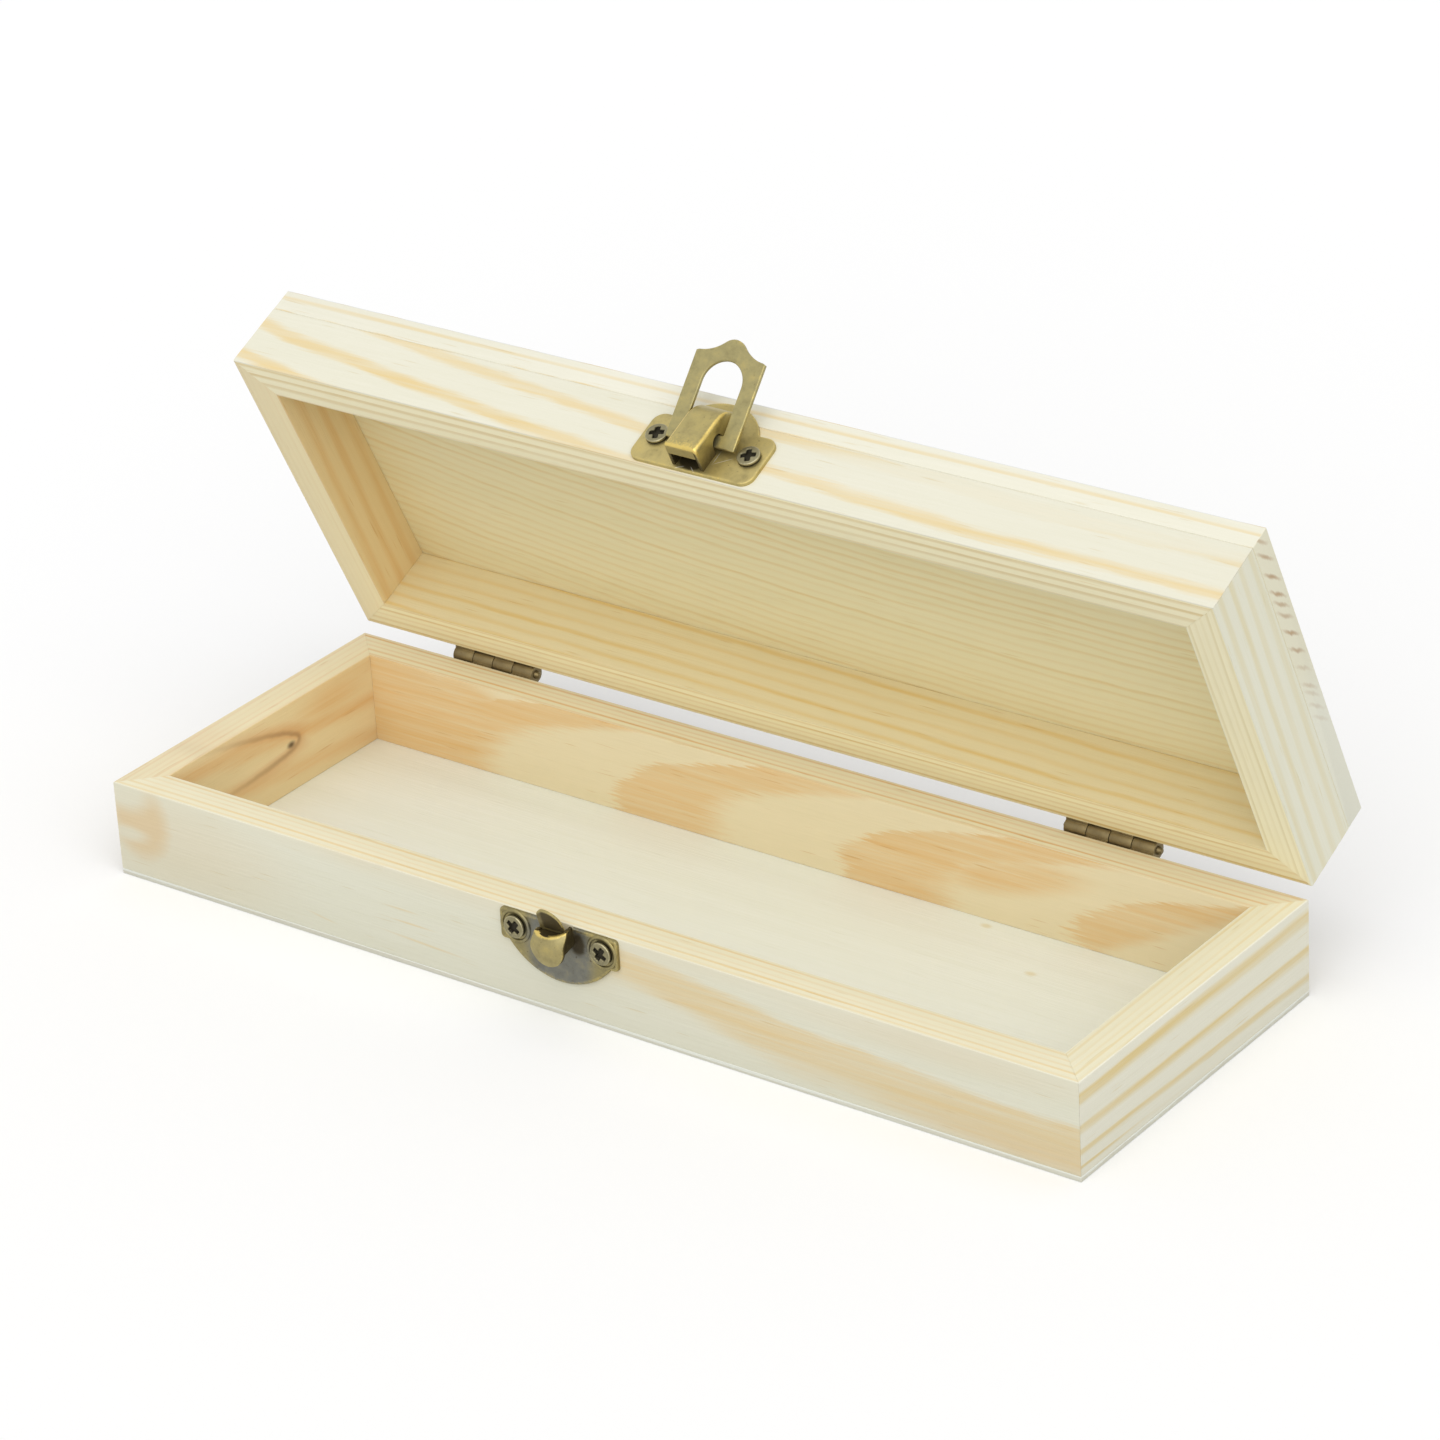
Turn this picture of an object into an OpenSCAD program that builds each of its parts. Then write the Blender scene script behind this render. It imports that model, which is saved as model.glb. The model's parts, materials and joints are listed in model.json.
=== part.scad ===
// Wooden pencil case: a shallow pine tray and a hinged pine lid, standing open,
// with two butt hinges on the back and a hasp latch on the front.
// The origin is the middle of the tray's underside, +X along the case, -Y to its front.

/* [Case] */
// Outside length of the case
case_l = 200; // [150:1:320]
// Outside width of the case
case_w = 69; // [50:0.5:120]
// Thickness of the side boards
wall_t = 7; // [6:0.5:10]

/* [Tray] */
// Outside height of the tray
tray_h = 18; // [16:0.5:40]
// Thickness of the bottom panel
bottom_t = 1; // [0.75:0.25:4]

/* [Lid] */
// Outside height of the lid
lid_h = 17.5; // [17:0.5:40]
// Thickness of the top panel
panel_t = 4.5; // [2:0.25:6]
// Gap between the two rims when the case is closed
rim_gap = 0.2; // [0.1:0.05:0.4]
// Angle at which the lid stands open
lid_open = 65; // [0:1:110]

/* [Hinges] */
// Length of each hinge along its pin
hinge_l = 18; // [14:0.5:28]
// Middle of the left hinge, from the left end of the case
left_hinge_inset = 29.5; // [20:0.5:60]
// Middle of the right hinge, from the right end of the case
right_hinge_inset = 39; // [20:0.5:60]
// Width of each leaf, from the pin to its far edge
leaf_w = 8; // [7:0.25:12]
// Thickness of the leaves
leaf_t = 0.8; // [0.5:0.05:1.1]
// Outside diameter of the knuckles
knuckle_d = 3.2; // [2.8:0.1:4]
// Number of knuckles, shared in turn between the lid and the tray
knuckles = 4; // [2:1:6]
// Gap between neighbouring knuckles
knuckle_gap = 0.15; // [0.1:0.05:0.3]
// Room between a knuckle and the other leaf or the wood
knuckle_room = 0.3; // [0.2:0.05:0.5]
// Diameter of the hinge pins
pin_d = 1.4; // [1:0.1:1.8]
// Running clearance on the hinge pins, on the radius
pin_fit = 0.05; // [0.02:0.01:0.1]
// Length of pin that stands out at each end of the knuckles
pin_end = 0.7; // [0.3:0.1:1.5]
// Distance between the two screws of a leaf
leaf_screw_gap = 10; // [8:0.5:12]
// Distance of the leaf screws from the pin
leaf_screw_drop = 5; // [4.5:0.25:5.5]

/* [Screws] */
// Shank diameter of the hinge screws
hinge_screw_d = 1.4; // [1:0.1:1.8]
// Length of the hinge screws under the head
hinge_screw_l = 5.5; // [3:0.25:6]
// Head diameter of the hinge screws
hinge_head_d = 3; // [2.4:0.1:3.6]
// Head height of the hinge screws
hinge_head_h = 0.6; // [0.4:0.05:0.8]
// Shank diameter of the latch screws
latch_screw_d = 1.8; // [1.2:0.1:2.2]
// Length of the latch screws under the head
latch_screw_l = 6; // [3:0.25:6.5]
// Head diameter of the latch screws
latch_head_d = 4.1; // [3.4:0.1:4.6]
// Head height of the latch screws
latch_head_h = 0.9; // [0.6:0.05:1.1]
// Clearance of the screws in their holes, on the radius
screw_fit = 0.05; // [0.02:0.01:0.1]

/* [Latch] */
// Middle of the latch, from the middle of the case
latch_x = -1.6; // [-30:0.1:30]
// Thickness of the keeper and hasp plates
plate_t = 0.7; // [0.5:0.05:0.9]

/* [Hasp plate on the lid] */
// Width of the hasp plate
hasp_w = 25; // [24:0.5:34]
// Gap between the lid's rim and the plate's lower edge
hasp_edge = 0.3; // [0:0.1:0.6]
// Top of the plate's ears above the lid's rim
hasp_ear_top = 10.8; // [9:0.1:12]
// Radius of the ears' corners
hasp_corner_r = 2.2; // [0.5:0.1:3]
// Radius of the round hump between the ears
hump_r = 9.3; // [8.5:0.1:11]
// Top of the hump above the lid's rim
hump_top = 15.8; // [15:0.1:16.5]
// Distance between the hasp plate's screws
hasp_screw_gap = 18.8; // [18.6:0.1:20]
// Height of the hasp plate's screws above the lid's rim
hasp_screw_v = 5.9; // [4:0.1:7]
// Turn of the hasp screws' cross recesses
hasp_recess_turn = 18; // [0:1:89]
// Outside width of the folded bridge
bridge_w = 6.4; // [6.2:0.1:7]
// Height of the bridge over the plate
bridge_h = 5; // [4.5:0.1:5.5]
// Sheet thickness of the bridge
bridge_t = 0.6; // [0.4:0.05:0.7]
// Open end of the bridge above the lid's rim
bridge_v = 1; // [0.8:0.1:1.5]
// Length of the bridge's flat roof, before it curves down to the plate
bridge_flat = 7; // [6:0.1:7.5]
// Length of the lip folded down at the bridge's open end
bridge_lip = 2.1; // [1:0.1:2.3]
// Slit between that lip and the bridge's walls
lip_slit = 0.2; // [0.1:0.05:0.4]

/* [Hasp loop] */
// Outside width of the loop
loop_w = 14; // [13.6:0.1:14.2]
// Width of the loop's window
window_w = 8.1; // [7.9:0.1:9]
// Sheet thickness of the loop
loop_t = 0.8; // [0.6:0.05:0.9]
// Height of the pivot above the lid's rim
pivot_v = 6.4; // [6.2:0.1:6.6]
// Height of the pivot over the plate
pivot_u = 1.55; // [1.45:0.05:1.8]
// Half the depth of the bar that turns in the bridge
bar_h = 1.1; // [0.8:0.05:1.15]
// Clearance round the turning bar
bar_fit = 0.2; // [0.1:0.05:0.3]
// Shoulders of the loop, from the pivot
loop_shoulder = 14.5; // [14.2:0.1:15.5]
// Tip of the loop, from the pivot
loop_tip = 17.6; // [17.2:0.1:18.5]
// Radius of the loop's tip
tip_r = 2.4; // [1.5:0.1:2.8]
// Top of the window, from the pivot
window_top = 13.6; // [13.4:0.1:14]
// Angle between the lid's front and the loop where it stands
loop_lift = 25; // [0:1:90]

/* [Keeper on the tray] */
// Width of the keeper plate
keeper_w = 24.4; // [24:0.1:30]
// Gap between the tray's rim and the plate's upper edge
keeper_edge = 0.2; // [0:0.1:0.6]
// Bottom of the plate's ears below the tray's rim
keeper_ear_low = 6; // [5.5:0.1:7]
// Radius of the ears' corners
keeper_corner_r = 0.8; // [0.2:0.1:1.5]
// Radius of the half-moon between the ears
moon_r = 13.2; // [12.5:0.1:15]
// Bottom of the half-moon below the tray's rim
moon_low = 11.2; // [10.5:0.1:12]
// Distance between the keeper's screws
keeper_screw_gap = 18; // [17.5:0.1:20]
// Depth of the keeper's screws below the tray's rim
keeper_screw_low = 3.1; // [2.9:0.1:3.3]
// Turn of the keeper screws' cross recesses
keeper_recess_turn = 52; // [0:1:89]
// Radius of the bead pressed round each keeper screw
bead_r = 2.8; // [2.6:0.05:3]
// Height of that bead over the plate
bead_h = 0.35; // [0.2:0.05:0.5]
// Width of the hook
hook_w = 7.2; // [6.8:0.1:7.3]
// Front of the hook, from the tray's front
hook_out = 3.9; // [3.6:0.1:4.2]
// Bottom of the hook below the tray's rim
hook_low = 6.5; // [6:0.1:6.6]
// Top of the hook's bend below the tray's rim
hook_top = 0.3; // [0.2:0.1:0.6]
// Depth of the crease where the hook leaves the plate, below the tray's rim
crease_low = 1.6; // [1.5:0.1:2]
// Width of the guide flap that stands up over the hook
flap_w = 4.8; // [4:0.1:4.8]
// Length of the guide flap
flap_l = 4.3; // [3.5:0.1:4.5]
// Angle by which the guide flap leans outwards
flap_lean = 26; // [24:1:28]
// Slit between the guide flap and the hook's side straps
flap_slit = 0.1; // [0.05:0.05:0.2]
// Dip in the middle of the hook's upper edge
hook_dip = 1; // [0.4:0.1:1.4]

/* [Hidden] */
$fn = 64;
tiny = 0.01;
lid_rim = tray_h + rim_gap;
frame_h = tray_h - bottom_t;
lid_frame_h = lid_h - panel_t;
pin_back = knuckle_d / 2 + knuckle_room;
pin_y = case_w / 2 + pin_back;
pin_z = tray_h + rim_gap / 2;
left_hinge_x = -case_l / 2 + left_hinge_inset;
right_hinge_x = case_l / 2 - right_hinge_inset;
knuckle_pitch = hinge_l / knuckles;
bar_reach = sqrt(bar_h * bar_h + loop_t * loop_t / 4);
slot_r = bar_reach + bar_fit;
recess_share = 0.58;
recess_w_share = 0.14;
recess_depth_share = 0.62;
point_share = 1.2;
point_tip_share = 0.2;
pin_tip_share = 0.6;
pilot_room = 0.3;
pine = [0.94, 0.89, 0.75];
panel_pine = [0.95, 0.91, 0.80];
brass = [0.60, 0.53, 0.32];
dark_brass = [0.46, 0.42, 0.31];
screw_metal = [0.58, 0.56, 0.47];

// Carries what is drawn on the closed case to the open lid
module in_lid() {
    translate([0, pin_y, pin_z])
        rotate([-lid_open, 0, 0])
            translate([0, -pin_y, -pin_z])
                children();
}

// A frame on the front of the case at the latch: x along the case, y up from a rim, z outwards
module on_front(rim) {
    translate([latch_x, -case_w / 2, rim])
        rotate([90, 0, 0])
            children();
}

// A frame at one hinge: x along the pin, y backwards and z up from the pin's middle
module at_hinge(x) {
    translate([x, pin_y, pin_z])
        children();
}

// Two copies of what is drawn, one each side of the middle
module pair(gap) {
    for (side = [-1, 1])
        translate([side * gap / 2, 0, 0])
            children();
}

// Front board of a frame, mitred at both ends
module long_board(h) {
    linear_extrude(h)
        polygon([
            [-case_l / 2, -case_w / 2],
            [case_l / 2, -case_w / 2],
            [case_l / 2 - wall_t, -case_w / 2 + wall_t],
            [-case_l / 2 + wall_t, -case_w / 2 + wall_t]
        ]);
}

// Left end board of a frame, mitred at both ends
module end_board(h) {
    linear_extrude(h)
        polygon([
            [-case_l / 2, -case_w / 2],
            [-case_l / 2 + wall_t, -case_w / 2 + wall_t],
            [-case_l / 2 + wall_t, case_w / 2 - wall_t],
            [-case_l / 2, case_w / 2]
        ]);
}

// A pan head screw along z, head outwards, with its seat at z = 0
module screw(shank_d, length, head_d, head_h) {
    dome_r = head_d;
    point_l = point_share * shank_d;
    difference() {
        intersection() {
            cylinder(d = head_d, h = head_h);
            translate([0, 0, head_h - dome_r])
                sphere(r = dome_r);
        }
        for (turn = [0, 90])
            rotate([0, 0, turn])
                translate([0, 0, head_h])
                    cube([recess_share * head_d, recess_w_share * head_d,
                          2 * recess_depth_share * head_h], center = true);
    }
    translate([0, 0, point_l - length])
        cylinder(d = shank_d, h = length - point_l + tiny);
    translate([0, 0, -length])
        cylinder(d1 = point_tip_share * shank_d, d2 = shank_d, h = point_l);
}

// The hole that a screw leaves in the wood, from the wood's face inwards
module pilot(shank_d, depth) {
    translate([0, 0, -depth - pilot_room])
        cylinder(d = shank_d + 2 * screw_fit, h = depth + pilot_room + tiny);
}

module latch_screw(recess_turn) {
    rotate([0, 0, recess_turn])
        screw(latch_screw_d, latch_screw_l, latch_head_d, latch_head_h);
}

module latch_pilot() {
    pilot(latch_screw_d, latch_screw_l - plate_t);
}

module hinge_screw() {
    screw(hinge_screw_d, hinge_screw_l, hinge_head_d, hinge_head_h);
}

module hinge_pilot() {
    pilot(hinge_screw_d, hinge_screw_l - leaf_t);
}

// Places what is drawn at each screw of the keeper, hasp plate or leaf, with z out of the wood
module at_keeper_screws(out) {
    on_front(tray_h)
        translate([0, -keeper_screw_low, out])
            pair(keeper_screw_gap)
                children();
}

module at_hasp_screws(out) {
    on_front(lid_rim)
        translate([0, hasp_screw_v, out])
            pair(hasp_screw_gap)
                children();
}

module at_leaf_screws(hinge_x, out) {
    at_hinge(hinge_x)
        translate([0, out - pin_back, -leaf_screw_drop])
            rotate([-90, 0, 0])
                pair(leaf_screw_gap)
                    children();
}

// What belongs to the tray's side of a hinge, drawn on the lid's side instead
module on_lid_side() {
    translate([0, 0, pin_z])
        mirror([0, 0, 1])
            translate([0, 0, -pin_z])
                children();
}

// One hinge leaf with its rolled knuckles, hanging below the pin
module leaf(hinge_x, first) {
    plate_top = knuckle_d / 2 + knuckle_room;
    difference() {
        at_hinge(hinge_x) {
            translate([-hinge_l / 2, -pin_back, -leaf_w])
                cube([hinge_l, leaf_t, leaf_w - plate_top]);
            for (i = [first : 2 : knuckles - 1])
                translate([-hinge_l / 2 + i * knuckle_pitch + knuckle_gap / 2, 0, 0]) {
                    translate([0, -pin_back, -leaf_w])
                        cube([knuckle_pitch - knuckle_gap, leaf_t, leaf_w]);
                    rotate([0, 90, 0])
                        cylinder(d = knuckle_d, h = knuckle_pitch - knuckle_gap);
                }
        }
        at_hinge(hinge_x)
            rotate([0, 90, 0])
                cylinder(d = pin_d + 2 * pin_fit, h = 2 * hinge_l, center = true);
        at_leaf_screws(hinge_x, 0)
            cylinder(d = hinge_screw_d + 2 * screw_fit, h = 4 * leaf_t, center = true);
    }
}

// One hinge pin with slightly tapered ends
module hinge_pin(hinge_x) {
    body_l = hinge_l + pin_end;
    at_hinge(hinge_x)
        rotate([0, 90, 0]) {
            cylinder(d = pin_d, h = body_l, center = true);
            for (side = [0, 180])
                rotate([side, 0, 0])
                    translate([0, 0, body_l / 2])
                        cylinder(d1 = pin_d, d2 = pin_tip_share * pin_d, h = pin_end / 2);
        }
}

// Flat outline with round corners of radius r
module round_rect(w, h, r) {
    pair(w - 2 * r)
        square([2 * r, h - 2 * r], center = true);
    square([w - 2 * r, h], center = true);
    for (up = [-1, 1])
        translate([0, up * (h / 2 - r)])
            pair(w - 2 * r)
                circle(r);
}

// Outline of the hasp plate: two ears and a round hump
module hasp_outline() {
    ear_h = hasp_ear_top - hasp_edge;
    translate([0, hasp_edge + ear_h / 2])
        round_rect(hasp_w, ear_h, hasp_corner_r);
    intersection() {
        translate([0, hump_top - hump_r])
            circle(hump_r);
        translate([-hasp_w / 2, hasp_edge + ear_h / 2])
            square([hasp_w, hump_top]);
    }
}

// Side profile of the bridge over the plate: a flat roof that curves down at its closed end
module bridge_profile(height, front) {
    translate([front, plate_t - tiny])
        square([bridge_v + bridge_flat - front, height + tiny]);
    intersection() {
        translate([bridge_v + bridge_flat, plate_t])
            circle(height);
        translate([bridge_v + bridge_flat, plate_t - tiny])
            square([2 * height, 2 * height]);
    }
}

// Carries a side profile, drawn up and outwards, to a width along the case
module across(w) {
    rotate([90, 0, 90])
        linear_extrude(w, center = true)
            children();
}

// The folded bridge that holds the loop's bar, with its lip and its two side slots
module bridge() {
    inner_w = bridge_w - 2 * bridge_t;
    roof_u = plate_t + bridge_h;
    difference() {
        across(bridge_w)
            bridge_profile(bridge_h, bridge_v);
        translate([0, 0, tiny])
            across(inner_w)
                bridge_profile(bridge_h - bridge_t, bridge_v - bridge_t);
        across(2 * bridge_w) {
            translate([pivot_v, plate_t + pivot_u])
                circle(slot_r);
            translate([pivot_v - slot_r, plate_t])
                square([2 * slot_r, pivot_u]);
        }
    }
    translate([-inner_w / 2 + lip_slit, bridge_v, roof_u - bridge_lip])
        cube([inner_w - 2 * lip_slit, bridge_t, bridge_lip - bridge_t / 2]);
}

// Outline of the loop from its pivot upwards: straight legs, shoulders and an ogee tip
module loop_outline() {
    tip_mid = loop_tip - tip_r;
    rise = loop_shoulder - tip_mid;
    hollow_r = (loop_w * loop_w / 4 + rise * rise - tip_r * tip_r) / (2 * (tip_r - rise));
    hollow_mid = loop_shoulder + hollow_r;
    meet = tip_mid + tip_r * (hollow_mid - tip_mid) / (tip_r + hollow_r);
    difference() {
        union() {
            difference() {
                translate([-loop_w / 2, -bar_h])
                    square([loop_w, bar_h + meet]);
                pair(loop_w)
                    translate([0, hollow_mid])
                        circle(hollow_r);
            }
            translate([0, tip_mid])
                circle(tip_r);
        }
        translate([-window_w / 2, bar_h])
            square([window_w, window_top - window_w / 2 - bar_h]);
        translate([0, window_top - window_w / 2])
            circle(window_w / 2);
    }
}

// Outline of the keeper: two ears and a half-moon, notched where the hook leaves it
module keeper_outline() {
    ear_h = keeper_ear_low - keeper_edge;
    difference() {
        union() {
            translate([0, -keeper_edge - ear_h / 2])
                round_rect(keeper_w, ear_h, keeper_corner_r);
            intersection() {
                translate([0, moon_r - moon_low])
                    circle(moon_r);
                translate([-keeper_w / 2, -moon_low])
                    square([keeper_w, moon_low - keeper_edge - ear_h / 2]);
            }
        }
        translate([-hook_w / 2, -crease_low])
            square([hook_w, 2 * crease_low]);
    }
}

// A straight run of bent sheet between two points of a side profile, with round ends
module sheet_run(from, to) {
    run = to - from;
    translate(from)
        rotate(atan2(run[1], run[0]))
            translate([0, -plate_t / 2])
                square([norm(run), plate_t]);
    translate(to)
        circle(d = plate_t);
}

// Side profile of the hook: out and up from the crease, over a bend, and down
module hook_profile() {
    root = [-crease_low - plate_t / 2, plate_t / 2];
    bend = [-hook_top - plate_t / 2, hook_out - plate_t / 2];
    low = [-hook_low, hook_out - plate_t / 2];
    sheet_run(root, bend);
    sheet_run(bend, low);
}

// Front outline of the hook: a round free end and a dip in the upper edge
module hook_outline() {
    dip_r = (hook_dip * hook_dip + hook_w * hook_w / 4) / (2 * hook_dip);
    difference() {
        union() {
            translate([0, hook_w / 2 - hook_low])
                circle(d = hook_w);
            translate([-hook_w / 2, hook_w / 2 - hook_low])
                square([hook_w, hook_low - hook_w / 2]);
        }
        translate([0, dip_r - hook_top - hook_dip])
            intersection() {
                circle(dip_r);
                square([flap_w + 2 * flap_slit, 2 * dip_r], center = true);
            }
    }
}

// The hook with the opening that the guide flap was cut from
module hook() {
    opening_w = flap_w + 2 * flap_slit;
    difference() {
        intersection() {
            across(hook_w)
                hook_profile();
            linear_extrude(2 * hook_out)
                hook_outline();
        }
        translate([-opening_w / 2, -2 * crease_low, plate_t])
            cube([opening_w, 2 * crease_low, hook_out - 2 * plate_t]);
    }
}

// The guide flap, leaning outwards from the crease
module guide_flap() {
    translate([0, -crease_low, 0])
        rotate([flap_lean, 0, 0])
            linear_extrude(plate_t) {
                translate([-flap_w / 2, -plate_t / 2])
                    square([flap_w, flap_l - flap_w / 2 + plate_t / 2]);
                translate([0, flap_l - flap_w / 2])
                    circle(d = flap_w);
            }
}

module tray_front() {
    color(pine)
        difference() {
            translate([0, 0, bottom_t])
                long_board(frame_h);
            at_keeper_screws(0)
                latch_pilot();
        }
}

module tray_back() {
    color(pine)
        difference() {
            translate([0, 0, bottom_t])
                mirror([0, 1, 0])
                    long_board(frame_h);
            for (x = [left_hinge_x, right_hinge_x])
                at_leaf_screws(x, 0)
                    hinge_pilot();
        }
}

module tray_left() {
    color(pine)
        translate([0, 0, bottom_t])
            end_board(frame_h);
}

module tray_right() {
    color(pine)
        translate([0, 0, bottom_t])
            mirror([1, 0, 0])
                end_board(frame_h);
}

module tray_bottom() {
    color(panel_pine)
        translate([-case_l / 2, -case_w / 2, 0])
            cube([case_l, case_w, bottom_t]);
}

module lid_front() {
    color(pine)
        in_lid()
            difference() {
                translate([0, 0, lid_rim])
                    long_board(lid_frame_h);
                at_hasp_screws(0)
                    latch_pilot();
            }
}

module lid_back() {
    color(pine)
        in_lid()
            difference() {
                translate([0, 0, lid_rim])
                    mirror([0, 1, 0])
                        long_board(lid_frame_h);
                for (x = [left_hinge_x, right_hinge_x])
                    on_lid_side()
                        at_leaf_screws(x, 0)
                            hinge_pilot();
            }
}

module lid_left() {
    color(pine)
        in_lid()
            translate([0, 0, lid_rim])
                end_board(lid_frame_h);
}

module lid_right() {
    color(pine)
        in_lid()
            translate([0, 0, lid_rim])
                mirror([1, 0, 0])
                    end_board(lid_frame_h);
}

module lid_panel() {
    color(panel_pine)
        in_lid()
            translate([-case_l / 2, -case_w / 2, lid_rim + lid_frame_h])
                cube([case_l, case_w, panel_t]);
}

module left_hinge_tray_leaf() {
    color(dark_brass)
        leaf(left_hinge_x, 1);
}

module left_hinge_lid_leaf() {
    color(brass)
        in_lid()
            on_lid_side()
                leaf(left_hinge_x, 0);
}

module left_hinge_pin() {
    color(dark_brass)
        hinge_pin(left_hinge_x);
}

module right_hinge_tray_leaf() {
    color(dark_brass)
        leaf(right_hinge_x, 1);
}

module right_hinge_lid_leaf() {
    color(brass)
        in_lid()
            on_lid_side()
                leaf(right_hinge_x, 0);
}

module right_hinge_pin() {
    color(dark_brass)
        hinge_pin(right_hinge_x);
}

module tray_hinge_screws() {
    color(screw_metal)
        for (x = [left_hinge_x, right_hinge_x])
            at_leaf_screws(x, leaf_t)
                hinge_screw();
}

module lid_hinge_screws() {
    color(screw_metal)
        in_lid()
            on_lid_side()
                for (x = [left_hinge_x, right_hinge_x])
                    at_leaf_screws(x, leaf_t)
                        hinge_screw();
}

module keeper_plate() {
    color(dark_brass)
        difference() {
            union() {
                on_front(tray_h) {
                    linear_extrude(plate_t)
                        keeper_outline();
                    hook();
                    guide_flap();
                }
                at_keeper_screws(plate_t)
                    rotate_extrude()
                        translate([bead_r, 0])
                            circle(bead_h);
            }
            at_keeper_screws(0)
                cylinder(d = latch_screw_d + 2 * screw_fit, h = 4 * plate_t, center = true);
        }
}

module keeper_screws() {
    color(screw_metal)
        at_keeper_screws(plate_t)
            latch_screw(keeper_recess_turn);
}

module hasp_plate() {
    color(brass)
        in_lid()
            difference() {
                on_front(lid_rim) {
                    linear_extrude(plate_t)
                        hasp_outline();
                    bridge();
                }
                at_hasp_screws(0)
                    cylinder(d = latch_screw_d + 2 * screw_fit, h = 4 * plate_t, center = true);
            }
}

module hasp_screws() {
    color(screw_metal)
        in_lid()
            at_hasp_screws(plate_t)
                latch_screw(hasp_recess_turn);
}

module hasp_loop() {
    color(brass)
        in_lid()
            on_front(lid_rim)
                translate([0, pivot_v, plate_t + pivot_u])
                    rotate([loop_lift, 0, 0])
                        linear_extrude(loop_t, center = true)
                            loop_outline();
}

tray_front();
tray_back();
tray_left();
tray_right();
tray_bottom();
lid_front();
lid_back();
lid_left();
lid_right();
lid_panel();
left_hinge_tray_leaf();
left_hinge_lid_leaf();
left_hinge_pin();
right_hinge_tray_leaf();
right_hinge_lid_leaf();
right_hinge_pin();
tray_hinge_screws();
lid_hinge_screws();
keeper_plate();
keeper_screws();
hasp_plate();
hasp_screws();
hasp_loop();
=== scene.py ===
# %% [markdown]
# # A pine pencil case, standing open
# The construction of the case is already there: every board, hinge and screw has its real size and place.
# This lesson dresses it. Boards get eased edges and grain, and the brass gets folds, beads and wear.
# Everything is worked out in millimetres and turned into metres once, when a mesh is made.

# %% Load the construction
import inspect
import json
import bmesh
import bpy
import numpy as np
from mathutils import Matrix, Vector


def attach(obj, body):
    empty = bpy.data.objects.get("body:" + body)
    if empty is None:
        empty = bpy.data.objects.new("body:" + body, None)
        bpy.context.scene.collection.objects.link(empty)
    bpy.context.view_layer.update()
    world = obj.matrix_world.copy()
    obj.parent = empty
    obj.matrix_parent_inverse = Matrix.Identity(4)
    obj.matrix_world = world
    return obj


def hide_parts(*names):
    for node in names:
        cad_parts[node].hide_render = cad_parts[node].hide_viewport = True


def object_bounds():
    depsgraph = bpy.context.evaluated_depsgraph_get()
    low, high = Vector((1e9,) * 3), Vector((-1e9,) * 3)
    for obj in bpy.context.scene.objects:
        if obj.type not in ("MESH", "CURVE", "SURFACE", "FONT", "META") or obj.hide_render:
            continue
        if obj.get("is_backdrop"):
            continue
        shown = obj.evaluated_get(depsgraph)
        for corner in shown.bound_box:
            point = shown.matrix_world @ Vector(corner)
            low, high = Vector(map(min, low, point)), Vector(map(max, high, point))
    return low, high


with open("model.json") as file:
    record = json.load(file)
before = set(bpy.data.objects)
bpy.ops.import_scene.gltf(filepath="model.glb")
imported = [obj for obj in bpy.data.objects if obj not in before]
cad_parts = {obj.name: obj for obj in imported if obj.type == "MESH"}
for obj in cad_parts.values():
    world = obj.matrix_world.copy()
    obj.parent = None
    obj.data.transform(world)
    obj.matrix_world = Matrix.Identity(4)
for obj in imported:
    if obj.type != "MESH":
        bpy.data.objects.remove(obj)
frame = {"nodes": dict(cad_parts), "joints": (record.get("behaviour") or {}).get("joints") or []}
cad_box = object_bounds()
nodes = frame["nodes"]
joints = {joint["name"]: joint for joint in frame["joints"]}
MM = 0.001
print("nodes:", len(nodes), "joints:", sorted(joints))

# %% [markdown]
# The lid stands open on its hinge pin. Its boards are easier to draw on the closed case, so two small
# functions carry points between the closed case and the case as it stands.


# %% Measure the construction
def turn_x(angle):
    """The matrix of a turn about x."""
    c, s = np.cos(angle), np.sin(angle)
    return np.array([[1, 0, 0], [0, c, -s], [0, s, c]])


pin = np.array(joints["lid_hinge"]["pos_m"]) / MM
lid_angle = np.radians(-joints["lid_hinge"]["range_deg"][0])
opening = turn_x(-lid_angle)


def stand(points, body):
    """Points of the closed case as they stand: all but the tray's are turned open about the pin."""
    return points if body == "tray" else (points - pin) @ opening.T + pin


def close_lid(points):
    """Turns points of the standing lid back onto the closed case."""
    return (points - pin) @ opening + pin


def node_span(name):
    """Lowest and highest corner of a node in millimetres, on the closed case."""
    mesh = nodes[name].data
    flat = np.empty(3 * len(mesh.vertices))
    mesh.vertices.foreach_get("co", flat)
    points = flat.reshape(-1, 3) / MM
    if name.startswith("lid"):
        points = close_lid(points)
    return points.min(0), points.max(0)


case_low, case_high = node_span("tray_bottom")
half_l, half_w = (case_high - case_low)[:2] / 2
front_y = case_low[1]
wall_high = node_span("tray_front")[1]
wall_t = wall_high[1] - front_y
inner_x, inner_y = half_l - wall_t, half_w - wall_t
lid_rim = node_span("lid_front")[0][2]
rims = {"tray": wall_high[2], "lid": lid_rim, "hasp": lid_rim}
pivot = close_lid(np.array(joints["hasp_swing"]["pos_m"]) / MM)
loop_lift = np.radians(joints["hasp_swing"]["range_deg"][1])
latch_x = pivot[0]
print("case", 2 * half_l, "by", 2 * half_w, "lid open", round(np.degrees(lid_angle), 1))

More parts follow.
